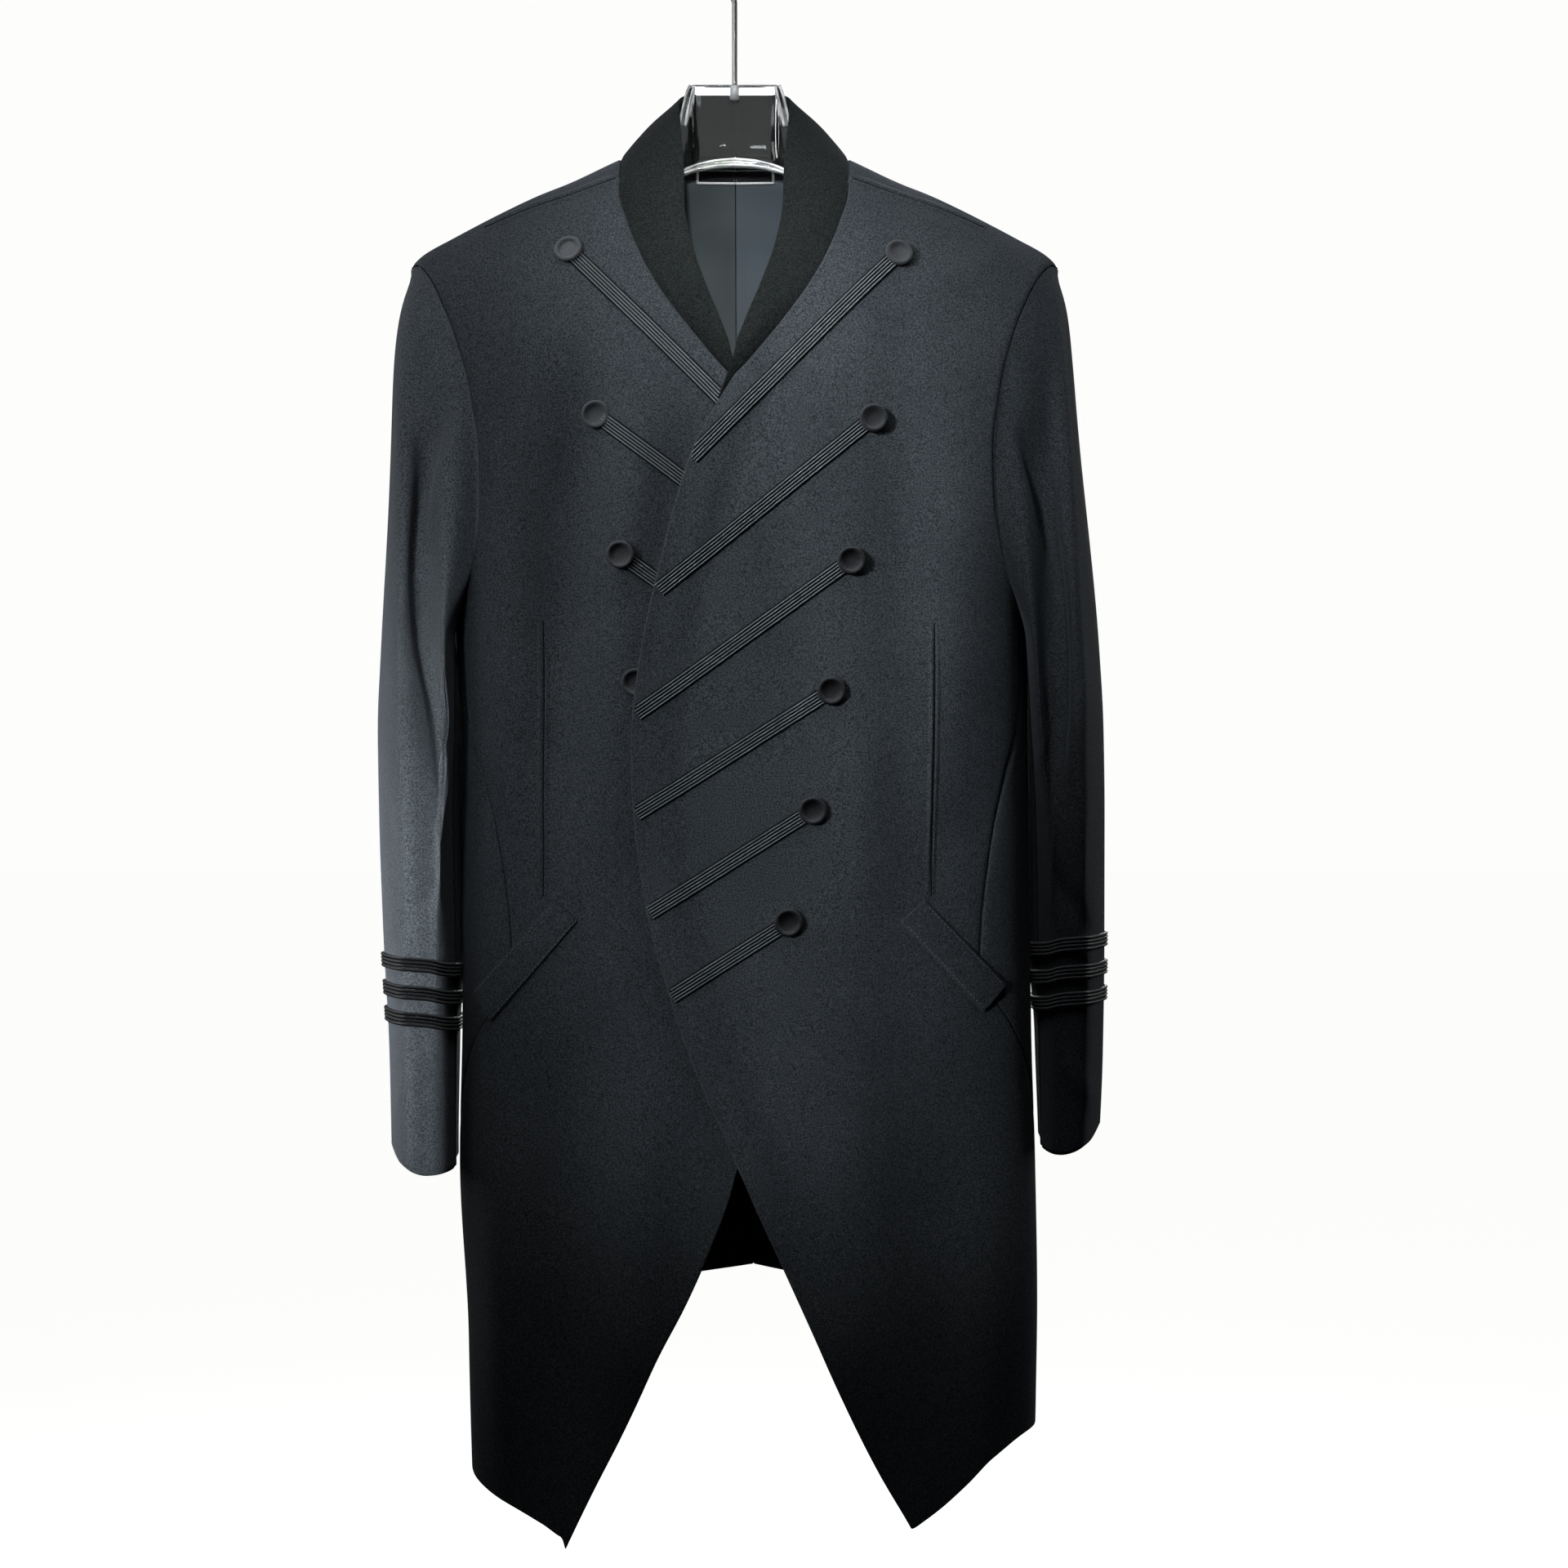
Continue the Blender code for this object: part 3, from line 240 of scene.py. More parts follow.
def woolMaterial(name, dark, light, sheen):
    made, tree, shader = startMaterial(name, 0.88, 0.18)
    place = objectPlace(tree)
    nap = noise(tree, place, woolLook["napScale"], 3.0)
    cloud = noise(tree, place, woolLook["cloudScale"], 3.0)
    speckle = ramp(tree, nap, [(0.36, dark), (0.66, light)])
    tone = ramp(tree, cloud, [(0.3, (0.8, 0.82, 0.84)), (0.7, (1.0, 1.0, 1.0))])
    tree.links.new(blendColours(tree, "MULTIPLY", 1.0, speckle, tone), shader.inputs["Base Color"])
    shader.inputs["Sheen Weight"].default_value = sheen
    shader.inputs["Sheen Roughness"].default_value = 0.45
    shader.inputs["Sheen Tint"].default_value = (0.75, 0.85, 1.0, 1.0)
    bumpFrom(tree, shader, [(nap, woolLook["weaveDepth"])])
    return made


twistLength = 0.0011    # of the braid cords, in metres


def braidMaterial(name, dark, light):
    made, tree, shader = startMaterial(name, 0.4, 0.5)
    run = tree.nodes.new("ShaderNodeAttribute")
    run.attribute_name = "run"
    wave = tree.nodes.new("ShaderNodeMath")
    wave.operation = "MULTIPLY"
    wave.inputs[1].default_value = 2 * math.pi / twistLength
    tree.links.new(run.outputs["Fac"], wave.inputs[0])
    rib = tree.nodes.new("ShaderNodeMath")
    rib.operation = "SINE"
    tree.links.new(wave.outputs[0], rib.inputs[0])
    place = objectPlace(tree)
    lint = noise(tree, place, 2600.0)
    tree.links.new(ramp(tree, lint, [(0.35, dark), (0.7, light)]), shader.inputs["Base Color"])
    shader.inputs["Sheen Weight"].default_value = 0.1
    shader.inputs["Sheen Roughness"].default_value = 0.35
    bumpFrom(tree, shader, [(rib.outputs[0], 0.00016), (lint, 0.00012)])
    return made


# roughness, specular, then the grain: scale, detail, stretch, depth of its relief, and its two tones with their stops
plainLooks = {
    # near black: painted shade between the braid cords and along the seams' grooves
    "tapeGround": (0.8, 0.05, 2200.0, 2.0, None, 0.00008,
                   [(0.35, (0.0016, 0.0019, 0.0022)), (0.7, (0.005, 0.0056, 0.006))]),
    "coveredButton": (0.5, 0.35, 1900.0, 3.0, None, 0.0003,
                      [(0.35, (0.018, 0.021, 0.025)), (0.68, (0.064, 0.073, 0.084))]),
    # edges of the moulding, where the clear plastic gathers the light: their pale colour is a painted highlight, also
    # used on the tab
    "mouldedEdge": (0.12, 0.6, 90.0, 1.0, None, 0.0002, [(0.35, (0.35, 0.37, 0.38)), (0.65, (0.9, 0.92, 0.93))]),
    "polishedSteel": (0.48, 0.5, 700.0, 2.0, (1.0, 1.0, 0.05), 0.00004,
                      [(0.3, (0.22, 0.22, 0.22)), (0.7, (0.34, 0.34, 0.34))]),
    "labelSatin": (0.4, 0.4, 1400.0, 1.0, (0.2, 1.0, 1.0), 0.00008,
                   [(0.3, (0.004, 0.004, 0.005)), (0.7, (0.012, 0.012, 0.014))]),
    "paleThread": (0.45, 0.5, 2200.0, 1.0, None, 0.0001, [(0.3, (0.34, 0.36, 0.38)), (0.7, (0.62, 0.64, 0.66))]),
}


def plainMaterial(name, **extras):
    # Extras are further inputs of the shader, their spaces written as underscores.
    roughness, specular, scale, detail, stretch, depth, stops = plainLooks[name]
    made, tree, shader = startMaterial(name, roughness, specular)
    grain = noise(tree, objectPlace(tree), scale, detail, stretch)
    tree.links.new(ramp(tree, grain, stops), shader.inputs["Base Color"])
    for extra, value in extras.items():
        shader.inputs[extra.replace("_", " ")].default_value = value
    bumpFrom(tree, shader, [(grain, depth)])
    return made


def liningMaterial(name, dark, light):
    made, tree, shader = startMaterial(name, 0.62, 0.16)
    place = objectPlace(tree)
    streak = noise(tree, place, 9.0, 2.0, (1.0, 1.0, 0.35))
    thread = noise(tree, place, 900.0, 1.0, (1.0, 1.0, 3.0))
    tree.links.new(ramp(tree, streak, [(0.3, dark), (0.7, light)]), shader.inputs["Base Color"])
    shader.inputs["Anisotropic"].default_value = 0.4
    shader.inputs["Sheen Weight"].default_value = 0.1
    bumpFrom(tree, shader, [(thread, 0.00006)])
    return made


def clearMaterial():
    made, tree, shader = startMaterial("clearPlastic", 0.04, 0.5)
    place = objectPlace(tree)
    ripple = noise(tree, place, 26.0, 1.0)
    shader.inputs["Base Color"].default_value = (0.95, 0.97, 0.975, 1.0)
    shader.inputs["Transmission Weight"].default_value = 1.0
    shader.inputs["IOR"].default_value = 1.49
    bumpFrom(tree, shader, [(ripple, 0.0008)])
    return made


wool = woolMaterial("wool", woolLook["dark"], woolLook["light"], woolLook["sheen"])
collarWool = woolMaterial("collarWool", (0.0034, 0.0048, 0.0048), (0.023, 0.0275, 0.0275), 0.03)
soutache = braidMaterial("soutache", (0.044, 0.053, 0.062), (0.135, 0.155, 0.176))
# the front braid's soutache in darker tones for the cuff bands: painted shade
cuffSoutache = braidMaterial("cuffSoutache", (0.013, 0.0155, 0.018), (0.056, 0.065, 0.075))
# near-black cloth that paints shade between the braid cords and in the seams' grooves
tapeGround = plainMaterial("tapeGround")
coveredButton = plainMaterial("coveredButton", Sheen_Weight=0.2)
liningLeft = liningMaterial("liningBlue", (0.046, 0.061, 0.074), (0.066, 0.084, 0.100))
liningRight = liningMaterial("liningGreen", (0.016, 0.022, 0.023), (0.060, 0.075, 0.078))
clearPlastic = clearMaterial()
# pale and partly clear: a painted highlight on the hanger's moulded edges, lips and tab
mouldedEdge = plainMaterial("mouldedEdge", Transmission_Weight=0.35)
polishedSteel = plainMaterial("polishedSteel", Metallic=1.0)
labelSatin = plainMaterial("labelSatin")
paleThread = plainMaterial("paleThread")
print("materials made")

# Shape of the coat, repeated from the solids.

coat = {
    "cloth": 2.0,
    "satin": 1.0,
    "seamGap": 0.25,
    "grooveDepth": 0.9,
    "grooveWidth": 2.2,
    "squareness": 2.6,
    "shoulderRound": 150.0,
    "shoulderReference": 262.0,
    # height, middle, half width, depth to the front, depth to the back
    "sections": [
        (-1180, 14, 201, 74, 66), (-1028, 14, 205, 77, 72), (-900, 10, 209, 79, 76), (-800, 9, 207, 79, 78),
        (-640, 8, 206, 79, 78), (-515, 5, 208, 82, 80), (-430, 3, 220, 83, 82), (-350, 1, 238, 83, 80),
        (-260, 0, 258, 80, 74), (-140, 0, 272, 74, 66),
    ],
    # x, z of the shoulder line
    "shoulder": [(0, -140), (60, -163), (83, -173), (117, -189), (141, -198.5), (168, -211), (205, -229.5),
                 (227, -241), (237, -249), (262, -272)],
    "neckFront": [(83, -173), (84, -186), (82, -206), (76, -226), (63, -257), (47, -283), (26, -310), (4, -336),
                  (-10, -356)],
    "neckBack": [(0, -167), (20, -167.5), (42, -169), (62, -171), (83, -173)],
    # z, x of the free edges of the fronts
    "leftEdge": [(-356, -10), (-397, -31), (-447, -45), (-501, -58), (-547, -66), (-604, -71), (-651, -69),
                 (-714, -61), (-772, -46), (-823, -29), (-881, -4), (-954, 28), (-1009, 53), (-1063, 77),
                 (-1110, 100), (-1157, 127)],
    "rightEdge": [(-356, 10), (-421, 42), (-501, 62), (-547, 70), (-604, 74), (-662, 71), (-733, 61), (-804, 41),
                  (-841, 27), (-881, 9), (-903, 3), (-930, -5), (-960, -17), (-994, -32), (-1024, -48),
                  (-1061, -65), (-1114, -91), (-1147, -108), (-1173, -120)],
    "armholeFront": [(237, -249), (222, -259), (210, -281), (200, -306), (193, -330), (188, -355), (183.5, -391),
                     (184, -425), (189, -460), (196, -488), (202, -506)],
    "armholeBack": [(237, -249), (226, -262), (218, -290), (211, -325), (206, -370), (203, -420), (201, -465),
                    (202, -503)],
    "armpitHeight": -517.0,
    # z, turn round the coat in degrees: 0 at the front, 180 at the back
    "frontSeam": [(-566, 68), (-622, 58), (-676, 52), (-730, 49), (-762, 48.3), (-806, 62), (-849, 76), (-882, 87),
                  (-930, 90), (-1150, 90)],
    "backSeam": [(-600, 113), (-700, 117), (-850, 120), (-1150, 122)],
    # turn, height of the hem on the right and on the left
    "hem": [(32, -1173, -1157), (38, -1166, -1143), (44, -1155, -1128), (52, -1145, -1110), (65, -1135, -1096),
            (80, -1122, -1088), (90, -1112, -1080), (110, -1085, -1062), (135, -1040, -1030), (160, -998, -1002),
            (180, -986, -986)],
    "lapLift": 8.0,
    "lapRest": 3.2,
    "lapEdge": (14.0, 40.0),
    "lapEnd": (86.0, 128.0),
    "lapTop": (-215.0, -285.0),
    "lapFoot": (-915.0, -985.0),
}
neckSteps, neckBackSteps, edgeSteps, armholeSteps, shoulderSteps = 8, 5, 22, 8, 5
bothSides = ((1, "left"), (-1, "right"))


def smoothStep(start, end, value):
    share = np.clip((value - start) / (end - start), 0.0, 1.0)
    return share * share * (3 - 2 * share)


def smoothCurve(keys, values):
    # A smooth curve through the rows that never overshoots them.
    k, v = np.array(keys, float), np.array(values, float)
    if k[0] > k[-1]:
        k, v = k[::-1], v[::-1]
    step = np.diff(k)
    slope = np.diff(v) / step
    tangent = np.concatenate([slope[:1], np.zeros(len(k) - 2), slope[-1:]])
    before, after = slope[:-1], slope[1:]
    same = before * after > 0
    tangent[1:-1][same] = (2 * before * after)[same] / (before + after)[same]

    def at(x):
        x = np.clip(np.asarray(x, float), k[0], k[-1])
        i = np.clip(np.searchsorted(k, x, side="right") - 1, 0, len(step) - 1)
        t = (x - k[i]) / step[i]
        flat = v[i] * (2 * t**3 - 3 * t**2 + 1) + v[i + 1] * (3 * t**2 - 2 * t**3)
        return flat + step[i] * (tangent[i] * (t**3 - 2 * t**2 + t) + tangent[i + 1] * (t**3 - t**2))

    return at


def column(rows, key, wanted):
    return smoothCurve([row[key] for row in rows], [row[wanted] for row in rows])


middleAt, halfWidthAt, frontDepthAt, backDepthAt = (column(coat["sections"], 0, k) for k in (1, 2, 3, 4))
shoulderAt = column(coat["shoulder"], 0, 1)
leftEdgeAt = column(coat["leftEdge"], 0, 1)


def planScale(turn):
    n = coat["squareness"]
    return (np.abs(np.sin(turn)) ** n + np.abs(np.cos(turn)) ** n) ** (1 / n)


def ridgeHeight(turn):
    return shoulderAt(np.abs(coat["shoulderReference"] * np.sin(turn) / planScale(turn)))


def overOf(drop):
    r = coat["shoulderRound"]
    drop = np.asarray(drop, float)
    return np.where(drop < r, np.arccos(np.clip(1 - np.maximum(drop, 0) / r, -1, 1)), math.pi / 2 + drop / r - 1)


def bodyPoint(turn, over):
    r = coat["shoulderRound"]
    turn, over = np.broadcast_arrays(np.asarray(turn, float), np.asarray(over, float))
    drop = np.where(over < math.pi / 2, r * (1 - np.cos(over)), r * (1 + over - math.pi / 2))
    z = ridgeHeight(turn) - drop
    forward = np.cos(turn) / planScale(turn)
    depth = np.where(forward > 0, frontDepthAt(z), backDepthAt(z))
    x = middleAt(z) + halfWidthAt(z) * np.sin(turn) / planScale(turn)
    return np.stack([x, -depth * forward * np.sin(np.minimum(over, math.pi / 2)), z], -1)


def unit(v):
    return v / np.maximum(np.linalg.norm(v, axis=-1, keepdims=True), 1e-9)


def lengthAlong(points):
    return np.concatenate([[0.0], np.cumsum(np.linalg.norm(np.diff(points, axis=0), axis=1))])


def bodyNormal(turn, over):
    step = 0.004
    across = bodyPoint(turn + step, over) - bodyPoint(turn - step, over)
    down = bodyPoint(turn, over + step) - bodyPoint(turn, np.maximum(over - step, 0.0))
    normal = unit(np.cross(across, down))
    point = bodyPoint(turn, over)
    middle = np.stack([middleAt(point[..., 2]), 0 * point[..., 2], point[..., 2] - 60.0], -1)
    return normal * np.where(np.sum(normal * (point - middle), -1, keepdims=True) > 0, 1.0, -1.0)


def spot(x, z, behind=False):
    x, z = np.asarray(x, float), np.asarray(z, float)
    share = (x - middleAt(z)) / halfWidthAt(z)
    power = np.minimum(np.abs(share), 0.9999) ** coat["squareness"]
    turn = np.arctan((power / (1 - power)) ** (1 / coat["squareness"]))
    if behind:
        turn = math.pi - turn
    return np.copysign(turn, share), overOf(ridgeHeight(turn) - z)


def lapLift(point):
    x, z = point[..., 0], point[..., 2]
    lift = coat["lapLift"] + (coat["lapRest"] - coat["lapLift"]) * smoothStep(*coat["lapEdge"], x - leftEdgeAt(z))
    lift = lift * (1 - smoothStep(*coat["lapEnd"], x))
    return lift * smoothStep(*coat["lapTop"], z) * (1 - smoothStep(*coat["lapFoot"], z))


# Soft troughs and ridges on the fronts and backs, as seen from that side: x, z at both ends, half width, height.
drape = {
    "front": [
        (-162, -400, -160, -650, 20, 7.0),
        (-102, -310, -129, -620, 24, -10.0),
        (-62, -330, -88, -640, 23, 6.5),
        (-60, -560, -96, -700, 34, 1.8),
        (108, -330, 124, -520, 34, -4.0),
        (160, -400, 150, -640, 26, 4.0),
        (30, -440, 52, -560, 22, -4.0),
        (86, -590, 96, -700, 24, 3.6),
        (60, -800, 88, -1080, 40, 6.0),
        (150, -860, 160, -1090, 34, -6.0),
        (-56, -830, -74, -1080, 26, 6.5),
        (-112, -800, -122, -1120, 30, -7.0),
        (-160, -840, -166, -1100, 24, 4.5),
        (196, -250, 120, -280, 14, 1.8),
        (-200, -250, -130, -275, 14, 1.6),
        (100, -700, 30, -760, 26, 1.8),
        (-175, -640, -120, -690, 18, -1.8),
        (182, -640, 130, -700, 18, -1.8),
        (-30, -700, -96, -780, 22, 1.8),
        (-130, -440, -84, -470, 13, 1.3),
        (-60, -480, -108, -520, 12, -1.2),
    ],
    "back": [
        (-130, -300, -120, -520, 32, 2.6),
        (130, -290, 118, -540, 32, 2.8),
        (-60, -600, -80, -960, 36, -3.0),
        (70, -640, 84, -980, 38, 3.2),
        (150, -560, 158, -1000, 34, -3.0),
        (-150, -580, -160, -1020, 34, 3.0),
        (-60, -560, 60, -575, 20, 1.8),
        (-90, -230, 90, -236, 18, 1.6),
        (0, -300, 6, -460, 44, -2.0),
    ],
    "rippleHeight": 2.6,
    "rippleCount": 9.0,
}

# The left front rolls up at its edge, and the right front sinks beside it.
lapEdge = {
    "roll": 1.4,
    "rollWidth": 7.0,
    "trough": 7.0,
    "troughWidth": 26.0,
    "inside": 6.0,
    "top": (-330, -420),
    "foot": (-780, -900),
}


def alongFold(a, b, x0, z0, x1, z1, width, height):
    # Height of one fold at places a, b of its view.
    long = math.hypot(x1 - x0, z1 - z0)
    ux, uz = (x1 - x0) / long, (z1 - z0) / long
    t = ((a - x0) * ux + (b - z0) * uz) / long
    off = (a - x0) * -uz + (b - z0) * ux + 0.12 * width * np.sin(4.1 * t + x0)
    ends = smoothStep(-0.25, 0.3, t) * (1 - smoothStep(0.7, 1.25, t))
    return height * np.exp(-(off / width) ** 2) * ends


def drapeLift(point, turn):
    forward = np.cos(turn) / planScale(turn)
    x, z = point[..., 0], point[..., 2]
    front = sum(alongFold(x, z, *row) for row in drape["front"])
    back = sum(alongFold(x, z, *row) for row in drape["back"])
    wave = np.sin(drape["rippleCount"] * turn + 0.9 * np.sin(2 * turn) + z * 0.004)
    skirt = drape["rippleHeight"] * smoothStep(-760, -1100, z) * wave
    sides = 1 - smoothStep(0.25, 0.75, np.abs(forward))
    return front * smoothStep(0.05, 0.45, forward) + back * smoothStep(0.05, 0.45, -forward) + skirt * sides


def surface(turn, over, side):
    # Points of the outer cloth and the normals there, with folds, lap and lap edge.
    turn, over = np.asarray(turn, float), np.asarray(over, float)
    point, normal = bodyPoint(turn, over), bodyNormal(turn, over)
    lift = drapeLift(point, turn)
    z, inFront = point[..., 2], np.abs(turn) < math.pi / 2
    fromEdge = point[..., 0] - leftEdgeAt(z)
    reached = smoothStep(*lapEdge["top"], z) * (1 - smoothStep(*lapEdge["foot"], z))
    if side > 0:
        rolled = lapEdge["roll"] * np.exp(-(fromEdge / lapEdge["rollWidth"]) ** 2)
        lift = lift + np.where(inFront, lapLift(point), 0.0)
        lift = lift + np.where(inFront, rolled, 0.0) * reached
    else:
        sunk = np.exp(-((fromEdge - lapEdge["inside"]) / lapEdge["troughWidth"]) ** 2)
        lift = lift - np.where(inFront, lapEdge["trough"] * sunk, 0.0) * reached
    return point + normal * np.asarray(lift)[..., None], normal


def along(points, steps):
    points = np.array(points, float)
    reach = lengthAlong(points)
    at = np.linspace(0, reach[-1], steps + 1)
    return np.stack([smoothCurve(reach, points[:, k])(at) for k in range(points.shape[1])], -1)


def border(*stretches):
    # A line of places on the coat through stretches that meet, as a function of the share along it.
    counts = [len(s) - 1 for s in stretches]
    curves = [[smoothCurve(range(len(s)), np.array(s)[:, k]) for k in (0, 1)] for s in stretches]
    total, starts = sum(counts), np.cumsum([0] + counts)

    def at(share):
        run = np.clip(np.asarray(share, float), 0, 1) * total
        found = np.zeros(run.shape + (2,))
        for n, pair in enumerate(curves):
            last = n == len(curves) - 1
            inside = (run >= starts[n]) & ((run <= starts[n + 1]) if last else (run < starts[n + 1]))
            for k in (0, 1):
                found[..., k] = np.where(inside, pair[k](run - starts[n]), found[..., k])
        return found

    return at


def neckFront(side):
    line = along(coat["neckFront"], neckSteps)
    places = np.stack(spot(side * line[:, 0], line[:, 1]), -1)
    places[0, 1] = 0.0
    return places


def neckBack(side):
    line = along(coat["neckBack"], neckBackSteps)
    places = np.stack(spot(side * np.maximum(line[:, 0], 0.01), line[:, 1], True), -1)
    meeting = neckFront(side)[0, 0]
    places[-1] = (math.copysign(math.pi, meeting) - meeting, 0.0)
    return places


def hemHeight(side, turn):
    return column(coat["hem"], 0, 2 if side > 0 else 1)(np.degrees(np.abs(turn)))


def frontEdge(side):
    table = coat["leftEdge"] if side > 0 else coat["rightEdge"]
    line = along([(x, z) for z, x in table], edgeSteps)
    return np.stack(spot(line[:, 0], line[:, 1]), -1)


def armhole(side, behind):
    line = along(coat["armholeBack" if behind else "armholeFront"], armholeSteps)
    places = np.stack(spot(side * line[:, 0] + middleAt(line[:, 1]), line[:, 1], behind), -1)
    tip = float(spot(side * line[0, 0], line[0, 1])[0])
    places[0] = (math.copysign(math.pi, tip) - tip if behind else tip, 0.0)
    return places


def armholeFoot(side):
    front, back = armhole(side, False)[-1], armhole(side, True)[-1]
    bottom = np.array([side * math.pi / 2, float(overOf(ridgeHeight(math.pi / 2) - coat["armpitHeight"]))])
    places = []
    for share in (-1, -0.5, 0, 0.5, 1):
        away = (front if share < 0 else back) - bottom
        places.append((bottom[0] + away[0] * abs(share), bottom[1] + away[1] * share * share))
    return np.array(places)


def sideSeam(side, behind):
    top = armhole(side, behind)[-1]
    rows = [(float(bodyPoint(*top)[2]), math.degrees(abs(top[0])))] + list(coat["backSeam" if behind else "frontSeam"])
    footTurn = rows[-1][1]
    foot = float(hemHeight(side, math.radians(footTurn)))
    rows = [row for row in rows if row[0] > foot + 8] + [(foot, footTurn)]
    perDegree = 3.0    # about so many millimetres of cloth, so that steps along the seam come out even
    line = along([(turn * perDegree, z) for z, turn in rows], edgeSteps)
    turn = side * np.radians(line[:, 0] / perDegree)
    places = np.stack([turn, overOf(ridgeHeight(turn) - line[:, 1])], -1)
    places[0] = top
    return places


def middleBack(side):
    top = neckBack(side)[0]
    start, foot = float(bodyPoint(*top)[2]), float(hemHeight(side, math.pi))
    heights = np.linspace(start, foot, armholeSteps + edgeSteps + 1)
    turn = np.full(len(heights), top[0])
    return np.stack([turn, overOf(ridgeHeight(turn) - heights)], -1)


def hemLine(side, start, end, steps=60):
    turn = np.linspace(start[0], end[0], steps + 1)
    places = np.stack([turn, overOf(ridgeHeight(turn) - hemHeight(side, turn))], -1)
    places[0], places[-1] = start, end
    return places


def shoulderSeam(side, behind):
    start = neckBack(side)[-1] if behind else neckFront(side)[0]
    turn = np.linspace(start[0], armhole(side, behind)[0, 0], shoulderSteps + 1)
    return np.stack([turn, 0 * turn], -1)


def patch(top, bottom, left, right):
    # Places inside four borders, as a function of the shares across and down.
    def at(u, v):
        u, v = np.broadcast_arrays(np.asarray(u, float), np.asarray(v, float))
        a, b = u[..., None], v[..., None]
        upper = (1 - a) * (1 - b) * left(0.0) + a * (1 - b) * right(0.0)
        corners = upper + (1 - a) * b * left(1.0) + a * b * right(1.0)
        return (1 - a) * left(v) + a * right(v) + (1 - b) * top(u) + b * bottom(u) - corners

    return at


def closeShares(count, length, near=(0.0, 0.7, 1.5, 2.6, 4.5, 8.0)):
    # Even shares with extra ones beside both ends, where the cloth turns into its seam.
    inner = np.linspace(near[-1] / length, 1 - near[-1] / length, count)[1:-1]
    ends = np.array(near) / length
    return np.concatenate([ends, inner, 1 - ends[::-1]])


def placePiece(name, mesh, material, nodes):
    made = bpy.data.objects.new(name, mesh)
    bpy.context.scene.collection.objects.link(made)
    mesh.materials.clear()
    mesh.materials.append(material)
    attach(made, "root")
    if nodes:
        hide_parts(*nodes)
    return made


def rimDistance(grid):
    # How far each point of a grid lies from its four rims, along the rows and columns.
    across = np.linalg.norm(np.diff(grid, axis=1), axis=2)
    down = np.linalg.norm(np.diff(grid, axis=0), axis=2)
    left = np.concatenate([np.zeros((grid.shape[0], 1)), np.cumsum(across, 1)], 1)
    top = np.concatenate([np.zeros((1, grid.shape[1])), np.cumsum(down, 0)], 0)
    return {"left": left, "right": left[:, -1:] - left, "top": top, "foot": top[-1:] - top}


def wallMesh(name, grid, normals, thick, seams=(), gap=None):
    # A closed shell with round rims. Seams are the rims that dip where they meet their neighbour.
    gap = coat["seamGap"] if gap is None else gap
    reach = rimDistance(grid)
    dip = sum(np.exp(-(reach[s] / coat["grooveWidth"]) ** 2) for s in seams) if seams else 0.0
    outer = grid - normals * (coat["grooveDepth"] * np.clip(dip, 0, 1))[..., None] if seams else grid.copy()
    pull = gap + 0.4 * thick

    def drawn(line, beside):
        way = beside - line
        return line + unit(way) * np.minimum(pull, 0.45 * np.linalg.norm(way, axis=-1, keepdims=True) + gap)

    outer[0], outer[-1] = drawn(outer[0], outer[1]), drawn(outer[-1], outer[-2])
    outer[:, 0], outer[:, -1] = drawn(outer[:, 0], outer[:, 1]), drawn(outer[:, -1], outer[:, -2])
    inner = outer - normals * thick
    tall, wide = grid.shape[:2]
    index = np.arange(tall * wide).reshape(tall, wide)
    ring = np.concatenate([index[0, :-1], index[:-1, -1], index[-1, :0:-1], index[:0:-1, 0]])
    inside = np.concatenate([index[1, :-1], index[:-1, -2], index[-2, :0:-1], index[:0:-1, 1]])
    flat, back = outer.reshape(-1, 3), inner.reshape(-1, 3)
    out = unit(flat[ring] - flat[inside])
    middle = (flat[ring] + back[ring]) / 2 + out * 0.4 * thick
    half, rim = tall * wide, 2 * tall * wide
    points = np.concatenate([flat, back, middle])
    a, b, c, d = index[:-1, :-1].ravel(), index[:-1, 1:].ravel(), index[1:, 1:].ravel(), index[1:, :-1].ravel()
    k = np.arange(len(ring))
    nxt = (k + 1) % len(ring)
    faces = np.concatenate([
        np.stack([a, b, c, d], 1),
        np.stack([a, d, c, b], 1) + half,
        np.stack([ring[k], rim + k, rim + nxt, ring[nxt]], 1),
        np.stack([rim + k, ring[k] + half, ring[nxt] + half, rim + nxt], 1),
    ])
    mesh = bpy.data.meshes.new(name)
    mesh.from_pydata((points * mm).tolist(), [], faces.tolist())
    shape = bmesh.new()
    shape.from_mesh(mesh)
    bmesh.ops.remove_doubles(shape, verts=shape.verts, dist=1e-7)
    bmesh.ops.recalc_face_normals(shape, faces=shape.faces)
    shape.to_mesh(mesh)
    shape.free()
    mesh.shade_smooth()
    return mesh


cutSizes = {}    # filled as pieces are made: object, area of its outer face in square metres, and its grid


def keepCut(name, made, grid):
    across, down = np.diff(grid, axis=1)[:-1], np.diff(grid, axis=0)[:, :-1]
    area = float(np.linalg.norm(np.cross(across, down), axis=2).sum()) * mm * mm
    cutSizes[name] = (made, area, grid)


def panel(name, places, side, seams, rows, columns):
    v, u = np.meshgrid(rows, columns, indexing="ij")
    at = places(u, v)
    grid, normals = surface(at[..., 0], at[..., 1], side)
    mesh = wallMesh(name, grid, normals, coat["cloth"], seams)
    keepCut(name, placePiece(name + "_cloth", mesh, wool, [name]), grid)


# Fronts, sides and backs.

# counts of the grid, and the lengths in millimetres that its first rows and columns are measured against
panels = {
    "rows": (150, 900.0),
    "frontColumns": (74, 210.0),
    "sideColumns": (16, 60.0),
    "backColumns": (64, 190.0),
}


